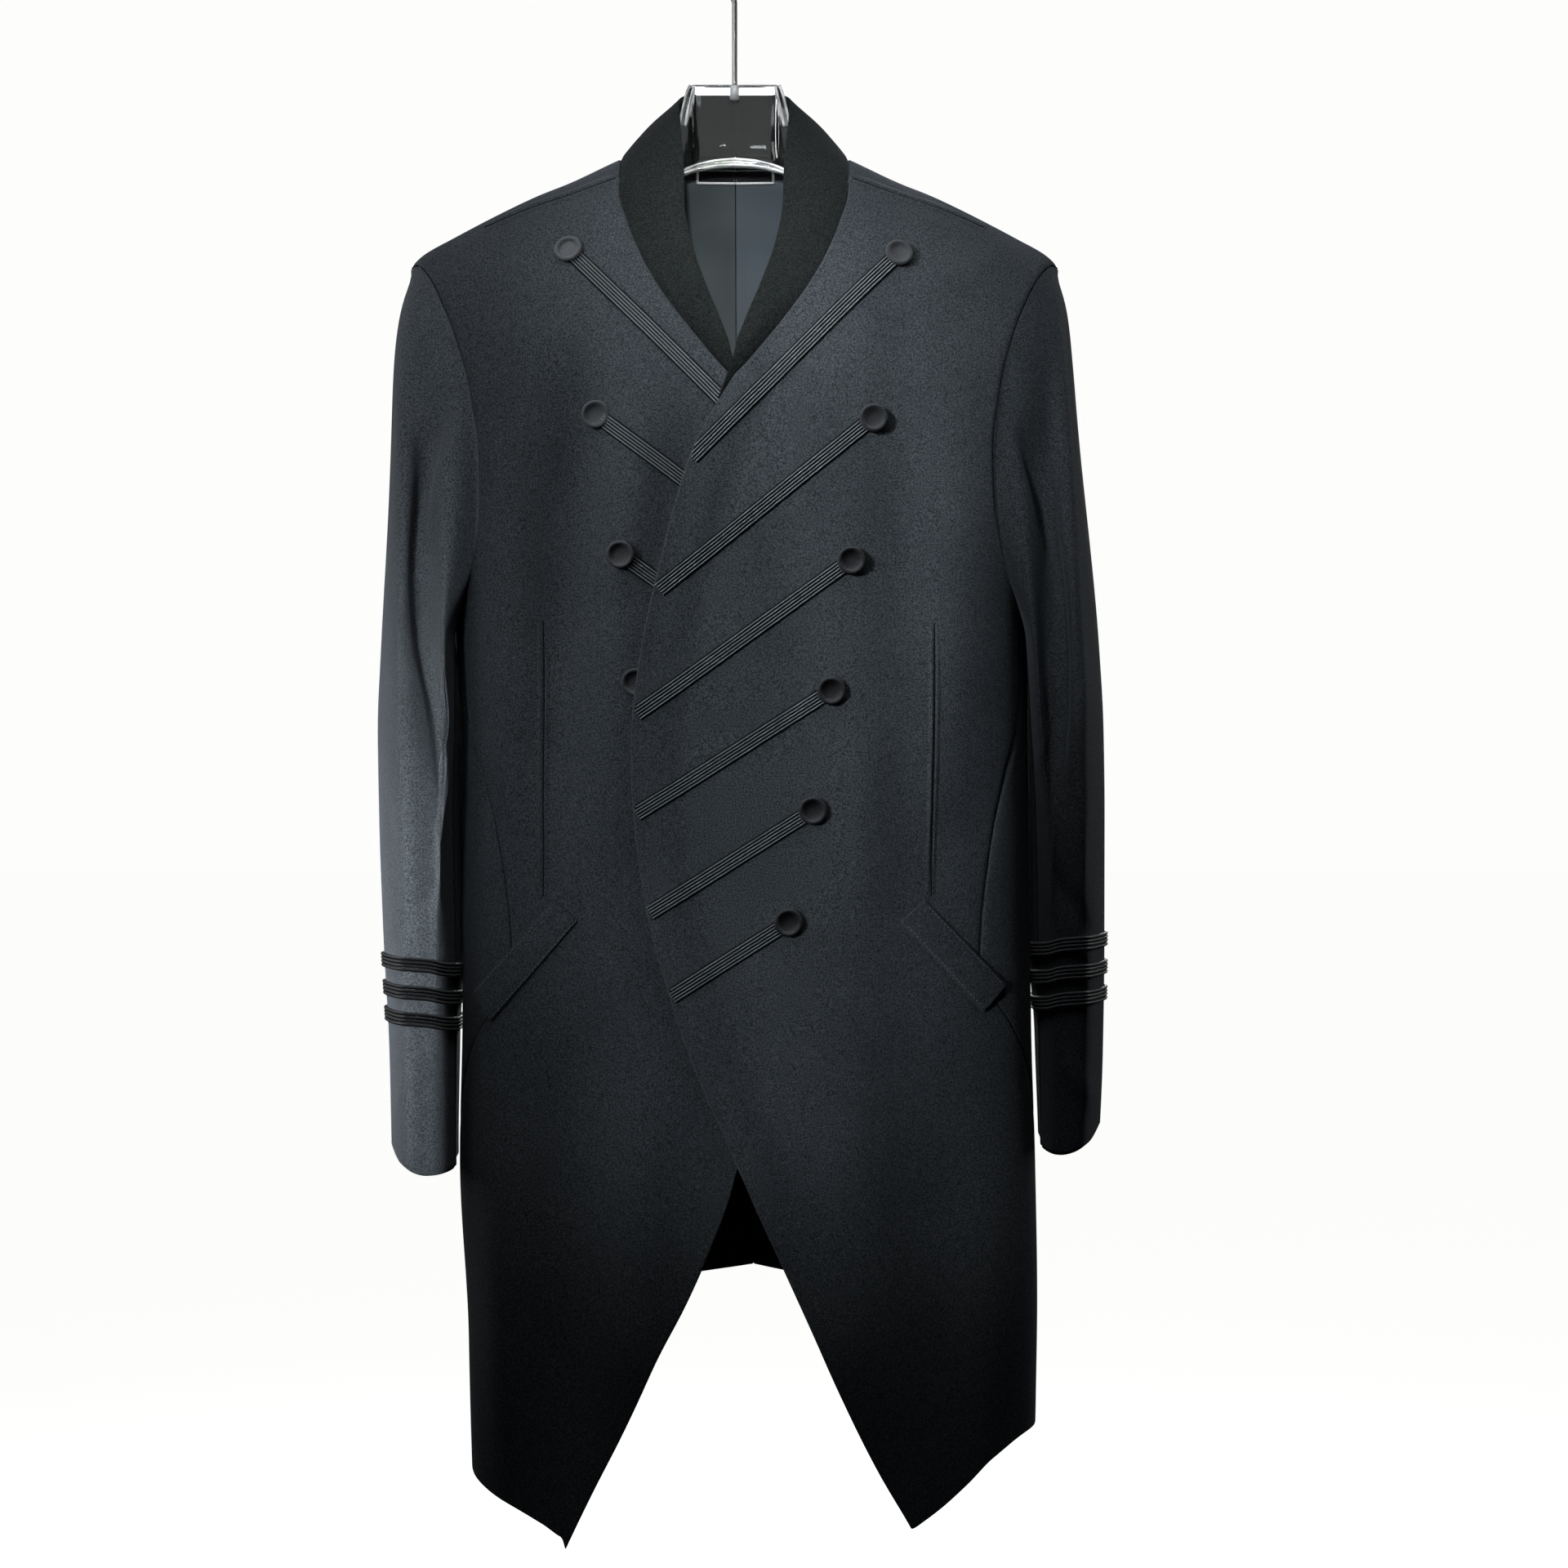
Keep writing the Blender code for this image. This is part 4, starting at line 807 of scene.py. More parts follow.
def makeBody(side, tag):
    frontSeam, backSeam = sideSeam(side, False), sideSeam(side, True)
    inner = border(neckFront(side), frontEdge(side))
    outer = border(armhole(side, False), frontSeam)
    hem = hemLine(side, frontEdge(side)[-1], frontSeam[-1])
    front = patch(border(shoulderSeam(side, False)), border(hem), inner, outer)
    rows = closeShares(*panels["rows"])
    panel("front_" + tag, front, side, ("right", "top"), rows, closeShares(*panels["frontColumns"]))
    hem = hemLine(side, frontSeam[-1], backSeam[-1])
    flank = patch(border(armholeFoot(side)), border(hem), border(frontSeam), border(backSeam))
    panel("side_" + tag, flank, side, ("left", "right", "top"), rows, closeShares(*panels["sideColumns"]))
    seam = border(armhole(side, True), backSeam)
    middle = border(middleBack(side))
    top = border(neckBack(side), shoulderSeam(side, True))
    back = patch(top, border(hemLine(side, middleBack(side)[-1], backSeam[-1])), middle, seam)
    panel("back_" + tag, back, side, ("left", "right", "top"), rows, closeShares(*panels["backColumns"]))
    return back


pressedSeam = {
    # x, z of each line seen from the front
    "dart_left": [(142.5, -508), (142.0, -580), (141.2, -650), (140.8, -711)],
    "dart_right": [(-137.0, -506), (-136.4, -580), (-135.8, -650), (-135.2, -712)],
    "shoulder_left": [(83, -190), (112, -200), (150, -212), (183, -225)],
    "shoulder_right": [(-83, -190), (-112, -200), (-150, -212), (-183, -225)],
    # place across the seam and lift of the cloth
    "profile": [(-5.0, -0.25), (-3.2, 0.35), (-2.1, 1.05), (-1.3, 1.05), (-0.75, 0.2), (0.0, -0.2), (0.75, 0.2),
                (1.3, 0.8), (2.1, 0.8), (3.2, 0.25), (5.0, -0.25)],
    "thick": 0.4,
    # radius of the dark cord that paints the shade along each seam's groove
    "thread": 0.5,
    "steps": 130,
    "sunk": 0.25,    # the ends lie this deep in the cloth
    "bluntness": 0.35,
}


def makePressedSeam(name, side):
    line = along(pressedSeam[name], pressedSeam["steps"])
    way = unit(np.gradient(line, axis=0))
    across = np.stack([-way[:, 1], way[:, 0]], -1)
    ends = np.sin(math.pi * np.linspace(0.0, 1.0, len(line))) ** pressedSeam["bluntness"]
    offset, lift = (np.array([row[k] for row in pressedSeam["profile"]]) for k in (0, 1))
    place = line[:, None] + across[:, None] * offset[None, :, None]
    grid, normals = surface(*spot(place[..., 0], place[..., 1]), side)
    sunk = pressedSeam["sunk"]
    grid = grid + normals * ((lift[None] + sunk) * ends[:, None] - sunk)[..., None]
    mesh = wallMesh(name, grid, normals, pressedSeam["thick"], (), 0.0)
    middle = len(offset) // 2
    # a dark cord along the groove's middle paints the shade in the seam
    deep = [(grid[3:-3, middle] + normals[3:-3, middle] * 0.1, 1.0, False)]
    seamShadeCords.append((name + "_thread", deep))
    return placePiece(name + "_seam", mesh, wool, [])


seamShadeCords = []    # dark cords of painted shade in the seams' grooves, laid once the cord tree is made
for side, tag in bothSides:
    [makePressedSeam(kind + "_" + tag, side) for kind in ("dart", "shoulder")]

backPlaces = {}
for side, tag in bothSides:
    backPlaces[side] = makeBody(side, tag)
print("body cloth made")

# Lining and collar.

lining = {
    # part of the back's height and width that it covers, as shares, and the counts of its grid
    "top": 0.012,
    "foot": 0.976,
    "across": 0.4,
    "rows": 110,
    "columns": 34,
    # how far it hangs inside the wool, and inside it at the neck
    "gap": 0.9,
    "neckGap": 2.6,
    "neckReach": 0.12,
    "easeDepth": 1.2,
    "easeWaves": (9.0, 14.0),
}


def makeLining(side, tag):
    rows = np.linspace(lining["top"], lining["foot"], lining["rows"])
    v, u = np.meshgrid(rows, np.linspace(0.0, lining["across"], lining["columns"]), indexing="ij")
    at = backPlaces[side](u, v)
    grid, normals = surface(at[..., 0], at[..., 1], side)
    belowNeck = smoothStep(0.0, lining["neckReach"], v)
    gap = coat["cloth"] + lining["gap"] + (lining["neckGap"] - lining["gap"]) * (1 - belowNeck)
    down, aside = lining["easeWaves"]
    wave = np.sin(v * down + u * aside) ** 2
    ease = lining["easeDepth"] * wave * smoothStep(0.03, lining["neckReach"], v) * smoothStep(0.0, 0.08, u)
    grid = grid - normals * (gap + ease)[..., None]
    name, satin = "lining_" + tag, liningLeft if side > 0 else liningRight
    mesh = wallMesh(name, grid, normals, coat["satin"], ("left",))
    keepCut(name, placePiece(name + "_satin", mesh, satin, [name]), grid)


collar = {
    # share from the front end to the middle of the back, x, y, z of the free edge
    "edge": [(0.00, 3, -82, -313), (0.12, 11, -81, -292), (0.24, 21, -77, -268), (0.36, 30, -67, -240),
             (0.46, 35, -56, -212), (0.55, 36, -41, -182), (0.64, 39, -22, -150), (0.72, 41, -2, -130),
             (0.80, 37, 15, -122), (0.90, 22, 30, -118), (1.00, 0, 35, -117)],
    "roll": 3.0,
    "rows": (30, 55.0),
    "columns": (96, 230.0),
    "towards": (8.0, 40.0),    # the inside of the neck, behind and below each point
}


def makeCollar(side, tag):
    seam = border(neckBack(side), neckFront(side))
    shares = closeShares(*collar["columns"], (0.0, 0.8, 2.0, 4.0))
    at = seam(shares)
    start, normal = surface(at[:, 0], at[:, 1], side)
    reach = lengthAlong(start)
    share = 1 - reach / reach[-1]
    free = np.stack([column(collar["edge"], 0, k)(share) for k in (1, 2, 3)], -1)
    lifted = lapLift(free) if side > 0 else 0.0
    free[:, 0] *= side
    free[:, 1] -= lifted
    v = closeShares(*collar["rows"], (0.0, 0.8, 1.8, 3.5))[:, None, None]
    out = unit(np.stack([side * 0.5 * (1 - share), normal[:, 1], 0 * share + 0.3], -1))
    grid = start * (1 - v) + free * v + out * collar["roll"] * np.sin(math.pi * v)
    across, down = np.gradient(grid, axis=1), np.gradient(grid, axis=0)
    normals = unit(np.cross(across, down))
    behind, below = collar["towards"]
    middle = np.stack([0 * grid[..., 0], 0 * grid[..., 1] + behind, grid[..., 2] - below], -1)
    normals = normals * np.where(np.sum(normals * (grid - middle), -1, keepdims=True) > 0, 1.0, -1.0)
    normals[0] = normal
    normals[1:4] = unit(normals[1:4] + normal)
    normals[:, 0] = unit(normals[:, 0] * np.array([0.0, 1.0, 1.0]))
    name = "collar_" + tag
    mesh = wallMesh(name, grid, normals, coat["cloth"], ("top", "left"))
    keepCut(name, placePiece(name + "_cloth", mesh, collarWool, [name]), grid)


for side, tag in bothSides:
    makeLining(side, tag)
    makeCollar(side, tag)
print("lining and collar made")

# Sleeves.

sleeve = {
    # outer side, fold and front lobe seen from the front, at the heights of the depths below
    "right": [(239, 235, 230), (245.5, 231, 205), (249, 227, 190), (250, 225, 184), (252, 222, 187), (256, 217, 196),
              (258, 211, 200), (257, 212, 205), (254, 216, 202), (250, 218, 199), (248, 218, 198)],
    "left": [(239, 235, 230), (244.5, 230, 206), (247, 226, 194), (251, 226, 188), (257, 226, 192), (264, 225, 203),
             (267, 226, 211), (268, 230, 218), (268, 234, 221), (267, 234, 219), (263, 232, 219)],
    # height, then depths of lobe, fold, outer side and back
    "depths": [(-252, -12, -11, -9, 9), (-280, -41, -28, -26, 34), (-320, -60, -38, -42, 56),
               (-380, -68, -38, -52, 68), (-440, -70, -42, -58, 74), (-517, -70, -46, -66, 78),
               (-580, -66, -52, -70, 77), (-650, -60, -60, -70, 74), (-740, -56, -63, -67, 69),
               (-820, -52, -62, -64, 65), (-915, -50, -60, -62, 62)],
    "underShare": 0.1,
    "clearAbove": 0.8,    # how far the sleeve hangs off the body above the cuff
    "underarmGap": 1.6,
    "seamGap": 0.4,
    "clear": 4.0,
    # share round the sleeve, height of its end
    "cuff": [(0.0, -901), (0.15, -906), (0.3, -907), (0.42, -899), (0.5, -889), (0.6, -889), (0.8, -893),
             (1.0, -901)],
    "leftRise": 15.0,
    "around": 100,
    "capRows": 34,
    "armRows": 96,
    "armScale": 340.0,    # millimetres round the sleeve, for the creases
    "evenings": 14,
    "heldLeast": 0.25,
    # share round the sleeve, height at both ends, half width as a share, height of the crease
    "creases": [
        (0.20, -560, 0.27, -640, 0.030, -2.0), (0.34, -600, 0.22, -700, 0.028, 1.8),
        (0.45, -640, 0.36, -760, 0.030, -1.8), (0.25, -690, 0.44, -742, 0.026, -1.8),
        (0.15, -610, 0.30, -590, 0.020, 1.4), (0.42, -540, 0.33, -640, 0.030, 1.6),
        (0.62, -560, 0.74, -640, 0.035, -2.2), (0.82, -580, 0.66, -690, 0.034, 2.2),
        (0.70, -700, 0.86, -760, 0.030, -1.8), (0.30, -820, 0.44, -860, 0.030, 1.2),
        (0.60, -400, 0.70, -520, 0.040, 1.8), (0.84, -430, 0.76, -540, 0.034, -1.8),
        (0.42, -300, 0.45, -470, 0.030, 1.2), (0.16, -330, 0.19, -520, 0.020, 1.2),
    ],
    "longFold": {
        "right": [(0.37, -330, 0.365, -470, 0.017, -7.0), (0.36, -470, 0.27, -640, 0.020, -6.0),
                  (0.40, -360, 0.40, -520, 0.022, 3.0)],
        "left": [(0.35, -340, 0.345, -480, 0.018, -9.0), (0.345, -470, 0.33, -630, 0.020, -8.0),
                 (0.40, -380, 0.39, -600, 0.022, 2.5)],
    },
}


def sleeveControls(side, z):
    widths = sleeve["left" if side > 0 else "right"]
    rows = [(depths[0], *wide, *depths[1:]) for wide, depths in zip(widths, sleeve["depths"])]
    outer, fold, inner, lobeY, foldY, outerY, back = (column(rows, 0, k)(z) for k in range(1, 8))
    pit = coat["armpitHeight"]
    foot = armholeFoot(side)
    ends = []
    for behind in (False, True):
        stretch = foot[2:-1] if behind else foot[1:3]
        places = np.concatenate([armhole(side, behind), stretch])
        points = bodyPoint(places[:, 0], places[:, 1])
        points = points[np.argsort(points[:, 2])]
        apart = sleeve["underarmGap"] * (1 - smoothStep(pit + 10, pit + 35, z))
        x, y = (smoothCurve(points[:, 2], points[:, k])(z) for k in (0, 1))
        ends.append((np.abs(x) + apart, y))
    low = z <= pit + 1
    clear = sleeve["clearAbove"] + (sleeve["clear"] - sleeve["clearAbove"]) * smoothStep(-745, -810, z)
    bodySide = halfWidthAt(z) + side * middleAt(z) + clear
    under = bodySide - (clear - sleeve["underarmGap"]) * (1 - smoothStep(0.0, 16.0, pit - z))
    start = (np.where(low, under, ends[0][0]), np.where(low, 0.0, ends[0][1]))
    end = (np.where(low, under, ends[1][0]), np.where(low, 0.0, ends[1][1]))

    def reachOf(y):
        depth = np.where(y < 0, frontDepthAt(z), backDepthAt(z))
        share = (1 - np.minimum(np.abs(y) / depth, 1.0) ** coat["squareness"]) ** (1 / coat["squareness"])
        return halfWidthAt(z) * share + side * middleAt(z)

    frontY = 0.45 * start[1] + 0.55 * lobeY * 0.8
    backY = 0.45 * back + 0.5 * end[1]
    frontX = 0.5 * (start[0] + inner) + 1.0
    backX = end[0] + 1.0
    frontX = np.where(low, np.maximum(frontX, reachOf(frontY) + clear), frontX)
    backX = np.where(low, np.maximum(backX, reachOf(backY) + clear), backX)
    xs = [start[0], frontX, 0.5 * (fold + inner), fold, 0.55 * outer + 0.45 * fold, outer, outer - 1.0,
          0.6 * outer + 0.4 * end[0], 0.3 * outer + 0.7 * end[0], backX, end[0]]
    ys = [start[1], frontY, lobeY, foldY, outerY, 0.25 * outerY, 0.45 * back, back, 0.93 * back, backY, end[1]]
    return np.stack(xs, -1), np.stack(ys, -1)


# share round the sleeve of each of those places
controlShares = np.array([0.0, 0.1, 0.2, 0.3, 0.4, 0.5, 0.6, 0.72, 0.82, 0.92, 1.0])


def sleeveSection(side, z, share):
    z, share = np.broadcast_arrays(np.asarray(z, float), np.asarray(share, float))
    xs, ys = sleeveControls(side, z)
    last = len(controlShares) - 1
    i = np.clip(np.searchsorted(controlShares, share + 1e-9, side="right") - 1, 0, last - 1)
    t = (share - controlShares[i]) / (controlShares[i + 1] - controlShares[i])
    low = z <= coat["armpitHeight"]
    before = np.where(i == 0, np.where(low, last - 1, 0), i - 1)
    after = np.where(i == last - 1, np.where(low, 1, last), i + 2)
    found = []
    for v in (xs, ys):
        beside = (before, i, i + 1, np.minimum(after, last))
        a, b, c, d = (np.take_along_axis(v, k[..., None], -1)[..., 0] for k in beside)
        found.append(b + 0.5 * t * (c - a + t * (2 * a - 5 * b + 4 * c - d + t * (3 * (b - c) + d - a))))
    return np.stack([side * found[0], found[1], z], -1)


def cuffHeight(side, share):
    return column(sleeve["cuff"], 0, 1)(share) + (sleeve["leftRise"] if side > 0 else 0.0)


def smoothedGrid(grid, rounds, held):
    # Evens out a tube of points. A point moves freely where held is 0 and stays where it is 1.
    for _ in range(rounds):
        beside = (np.roll(grid, 1, 1) + np.roll(grid, -1, 1)) / 2
        above = grid.copy()
        above[1:-1] = (grid[:-2] + grid[2:]) / 2
        grid = grid + ((beside + above) / 2 - grid) * (1 - held)[..., None]
    return grid


def makeSleeve(side, tag):
    count, capRows, armRows = sleeve["around"], sleeve["capRows"], sleeve["armRows"]
    foot = armholeFoot(side)
    ring = border(foot[2::-1], armhole(side, False)[::-1], armhole(side, True), foot[:1:-1])
    way = np.arange(count) / count
    at = ring(way)
    start, bodyNormals = surface(at[:, 0], at[:, 1], side)
    top = coat["armpitHeight"] - 14.0
    v = (np.linspace(0, 1, capRows + 1)[1:, None]) ** 1.3
    half = np.minimum(way, 1 - way) / 0.5
    share = 0.5 * half[None] ** (v ** -0.55)
    share = np.where(way[None] <= 0.5, share, 1 - share)
    cap = sleeveSection(side, start[None, :, 2] + (top - start[None, :, 2]) * v, share)
    down = np.linspace(0, 1, armRows + 1)[1:, None]
    heights = top + (cuffHeight(side, way)[None] - top) * down
    arm = sleeveSection(side, heights, np.broadcast_to(way, (armRows, count)))
    grid = np.concatenate([start[None], cap, arm])
    rows = len(grid)
    j = np.arange(rows)[:, None] * np.ones((1, count))
    held = np.clip(smoothStep(capRows * 0.9, capRows * 1.5, j) + (j < 1), 0, 1)
    held = np.maximum(held, sleeve["heldLeast"])
    grid = smoothedGrid(grid, sleeve["evenings"], held)

    across = (np.roll(grid, -1, 1) - np.roll(grid, 1, 1))
    fall = np.gradient(grid, axis=0)
    normals = unit(np.cross(across, fall))
    if normals[-1, count // 2, 0] * side < 0:
        normals = -normals
    z, around = grid[..., 2], np.broadcast_to(way, grid.shape[:2])
    lift = 0.0
    scale = sleeve["armScale"]
    for s0, z0, s1, z1, width, height in sleeve["creases"] + sleeve["longFold"][tag]:
        lift = lift + alongFold(around * scale, z, s0 * scale, z0, s1 * scale, z1, width * scale, height)
    lift = lift * smoothStep(0.0, 14.0, j) * (1 - smoothStep(rows - 12, rows - 1, j))
    grid = grid + normals * lift[..., None]
    near = np.minimum(way, 1 - way)
    fold = 1 - smoothStep(0.08, 0.24, near)[:, None]
    normals[0] = unit(normals[2] * fold + bodyNormals * (1 - fold))
    grid[0] = grid[0] + bodyNormals * sleeve["underarmGap"] * fold
    edge = int(sleeve["underShare"] * count)
    # A first row just below the armhole seam lets the cap dip into it.
    beside = grid[0] + unit(grid[1] - grid[0]) * 1.6
    grid = np.concatenate([grid[:1], beside[None], grid[1:]])
    normals = np.concatenate([normals[:1], unit(normals[:1] + normals[1:2]), normals[1:]])
    spans = {
        "sleeve_under_": np.arange(-edge, edge + 1) % count,
        "sleeve_upper_": np.arange(edge, count - edge + 1) % count,
    }
    for stem, columns in spans.items():
        part, outs = grid[:, columns], normals[:, columns]
        mesh = wallMesh(stem + tag, part, outs, coat["cloth"], ("left", "right", "top"), sleeve["seamGap"])
        keepCut(stem + tag, placePiece(stem + tag + "_cloth", mesh, wool, [stem + tag]), part)


for side, tag in bothSides:
    makeSleeve(side, tag)
print("sleeves made")

# Braid, laid as cords along paths by geometry nodes.


def startTree(name, sockets):
    # A node group with geometry in and out and further inputs: name, kind, value.
    tree = bpy.data.node_groups.new(name, "GeometryNodeTree")
    face = tree.interface
    face.new_socket("Geometry", in_out="INPUT", socket_type="NodeSocketGeometry")
    for socket, kind, value in sockets:
        made = face.new_socket(socket, in_out="INPUT", socket_type="NodeSocket" + kind)
        if value is not None:
            made.default_value = value
    face.new_socket("Geometry", in_out="OUTPUT", socket_type="NodeSocketGeometry")
    return tree, tree.nodes, tree.nodes.new("NodeGroupInput"), tree.nodes.new("NodeGroupOutput")


def join(tree, rows):
    for source, leaves, target, enters in rows:
        tree.links.new(source.outputs[leaves], target.inputs[enters])


def cordTree():
    # Turns edges into round cords. The thickness attribute scales each one; run keeps its length for the ribs.
    sockets = [("Cord radius", "Float", 0.001), ("Cord sides", "Int", 10), ("Finish", "Material", None)]
    tree, n, start, end = startTree("cordsOnPaths", sockets)
    curve, thin = n.new("GeometryNodeMeshToCurve"), n.new("GeometryNodeInputNamedAttribute")
    thin.data_type = "FLOAT"
    thin.inputs["Name"].default_value = "thickness"
    radius, profile = n.new("GeometryNodeSetCurveRadius"), n.new("GeometryNodeCurvePrimitiveCircle")
    length, keep = n.new("GeometryNodeSplineParameter"), n.new("GeometryNodeStoreNamedAttribute")
    keep.data_type, keep.domain = "FLOAT", "POINT"
    keep.inputs["Name"].default_value = "run"
    tube, shade = n.new("GeometryNodeCurveToMesh"), n.new("GeometryNodeSetShadeSmooth")
    tube.inputs["Fill Caps"].default_value = True
    real, finish = n.new("GeometryNodeRealizeInstances"), n.new("GeometryNodeSetMaterial")
    join(tree, [
        (start, "Geometry", curve, "Mesh"), (curve, "Curve", radius, "Curve"),
        (thin, "Attribute", radius, "Radius"), (radius, "Curve", keep, "Geometry"),
        (length, "Length", keep, "Value"), (start, "Cord radius", profile, "Radius"),
        (start, "Cord sides", profile, "Resolution"), (keep, "Geometry", tube, "Curve"),
        (profile, "Curve", tube, "Profile Curve"), (tube, "Mesh", shade, "Geometry"),
        (shade, "Geometry", real, "Geometry"), (real, "Geometry", finish, "Geometry"),
        (start, "Finish", finish, "Material"), (finish, "Geometry", end, "Geometry"),
    ])
    return tree


cordsOnPaths = cordTree()


def setInput(modifier, name, value):
    socket = next(s for s in modifier.node_group.interface.items_tree if s.name == name and s.in_out == "INPUT")
    modifier[socket.identifier] = value


def bakeNodes(holder):
    seen = holder.evaluated_get(bpy.context.evaluated_depsgraph_get())
    mesh = bpy.data.meshes.new_from_object(seen)
    holder.modifiers.clear()
    holder.data = mesh


def layCords(name, paths, radius, sides, finish, nodes):
    # paths: (points in millimetres, relative thickness, closed)
    points, edges, thickness = [], [], []
    for line, thick, closed in paths:
        base = len(points)
        points += (np.asarray(line) * mm).tolist()
        thickness += [thick] * len(line)
        edges += [(base + k, base + k + 1) for k in range(len(line) - 1)]
        if closed:
            edges.append((base + len(line) - 1, base))
    mesh = bpy.data.meshes.new(name)
    mesh.from_pydata(points, edges, [])
    mesh.attributes.new("thickness", "FLOAT", "POINT").data.foreach_set("value", thickness)
    holder = bpy.data.objects.new(name, mesh)
    bpy.context.scene.collection.objects.link(holder)
    modifier = holder.modifiers.new("cords", "NODES")
    modifier.node_group = cordsOnPaths
    setInput(modifier, "Cord radius", radius * mm)
    setInput(modifier, "Cord sides", sides)
    setInput(modifier, "Finish", finish)
    bakeNodes(holder)
    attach(holder, "root")
    if nodes:
        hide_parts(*nodes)


braid = {
    # x, z of each button and of the lower end of its braid
    "left": [(117, -250, -29, -397), (99, -368, -51.5, -490), (83, -469, -66.5, -577), (69, -561, -67, -648),
             (56, -646, -58, -718), (39, -725, -43, -777)],
    "right": [(-117, -247, -6, -357), (-98, -365, -29, -416), (-79, -465, -48, -487.5)],
    "hiddenButton": (-69, -555),
    "start": 4.8,
    # place across the braid and thickness of each cord, relative to the radius below
    "cords": [(-4.2, 1.0), (-2.1, 0.8), (0.0, 0.8), (2.1, 0.8), (4.2, 1.0)],
    "radius": 0.54,
    "height": 1.3,
    "tapeReach": 5.9,
    "tapeHeight": 0.7,
    "tapeThick": 0.4,
    "step": 2.5,
    "edgeGap": 0.6,
}


def makeBraid(side, tag, number, ends):
    # Five cords on a near-black tape, which paints the shade between and beside the cords. On the left front they end
    # at the edge of the lap.
    bx, bz, ex, ez = ends
    long = math.hypot(ex - bx, ez - bz)
    ux, uz = (ex - bx) / long, (ez - bz) / long
    at = np.linspace(braid["start"], long, int(long / braid["step"]))

    def beside(run, across):
        return bx + ux * run - uz * across, bz + uz * run + ux * across

    def onCloth(x, z):
        return x > leftEdgeAt(z) + braid["edgeGap"]

    paths = []
    for across, thick in braid["cords"]:
        x, z = beside(at, across)
        if side > 0:
            keep = onCloth(x, z)
            x, z = x[keep], z[keep]
        turn, over = spot(x, z)
        line, normal = surface(turn, over, side)
        paths.append((line + normal * braid["height"], thick, False))
    name = "braid_%s_%d" % (tag, number)
    across = np.linspace(-braid["tapeReach"], braid["tapeReach"], 9)[None]
    end = long
    if side > 0:
        end = np.where(onCloth(*beside(at[:, None], across)), at[:, None], 0.0).max(0)[None]
    shares = closeShares(int(long / braid["step"]), long, (0.0, 0.4, 1.0))[:, None]
    x, z = np.broadcast_arrays(*beside(braid["start"] + (end - braid["start"]) * shares, across))
    turn, over = spot(x, z)
    grid, normal = surface(turn, over, side)
    # the tape's near-black colour is painted shade between and beside the cords
    mesh = wallMesh(name + "_tape", grid + normal * braid["tapeHeight"], normal, braid["tapeThick"], (), 0.0)
    placePiece(name + "_tape", mesh, tapeGround, [])
    layCords(name + "_cords", paths, braid["radius"], 10, soutache, [name])


for side, tag in bothSides:
    for number, ends in enumerate(braid[tag], 1):
        makeBraid(side, tag, number, ends)
# the seams' grooves get their dark cords of painted shade
for name, deep in seamShadeCords:
    layCords(name, deep, pressedSeam["thread"], 8, tapeGround, [])
print("braid made")

cuffBand = {
    "heights": (-762.0, -782.0, -801.0),
    "tilt": 8.0,
    # height across the band and thickness of each cord
    "cords": [(3.9, 1.0), (1.35, 0.8), (-1.15, 0.8), (-3.9, 1.0)],
    "radius": 1.2,
    "height": 1.35,
    "around": 120,
}


def makeCuffBand(side, tag, number):
    name = "cuff_braid_%s_%d" % (tag, number)
    way = np.arange(cuffBand["around"]) / cuffBand["around"]
    rise = sleeve["leftRise"] if side > 0 else 0.0
    tilt = cuffBand["tilt"] * (0.5 - 0.5 * np.cos(2 * math.pi * way))
    paths = []
    for across, thick in cuffBand["cords"]:
        z = cuffBand["heights"][number - 1] + rise + tilt + across
        point = sleeveSection(side, z, way)
        ahead = np.roll(point, -1, 0) - np.roll(point, 1, 0)
        normal = unit(np.stack([ahead[:, 1], -ahead[:, 0], 0 * way], -1))
        middle = point.mean(0)
        normal = normal * np.sign(np.sum(normal * (point - middle) * np.array([1, 1, 0]), -1).mean())
        paths.append((point + normal * cuffBand["height"], thick, True))
    # the cuff cords take the soutache painted darker, as shade
    layCords(name + "_cords", paths, cuffBand["radius"], 10, cuffSoutache, [name])


for side, tag in bothSides:
    for number in (1, 2, 3):
        makeCuffBand(side, tag, number)
print("cuff bands made")

# Welts.

welt = {
    # x, z seen from the front: upper and lower corner at the near end, then at the far end
    "left": [(135.8, -710.0), (118.9, -724.4), (193.8, -770.8), (178.0, -789.0)],
    "right": [(-126.4, -710.0), (-110.7, -724.4), (-186.0, -776.0), (-172.8, -796.0)],
    "thick": 1.8,
    "gap": 0.3,
    "stitchInset": 1.6,
    "stitchLength": 3.2,
    "stitchThick": 0.2,
    "deep": 21.0,
}


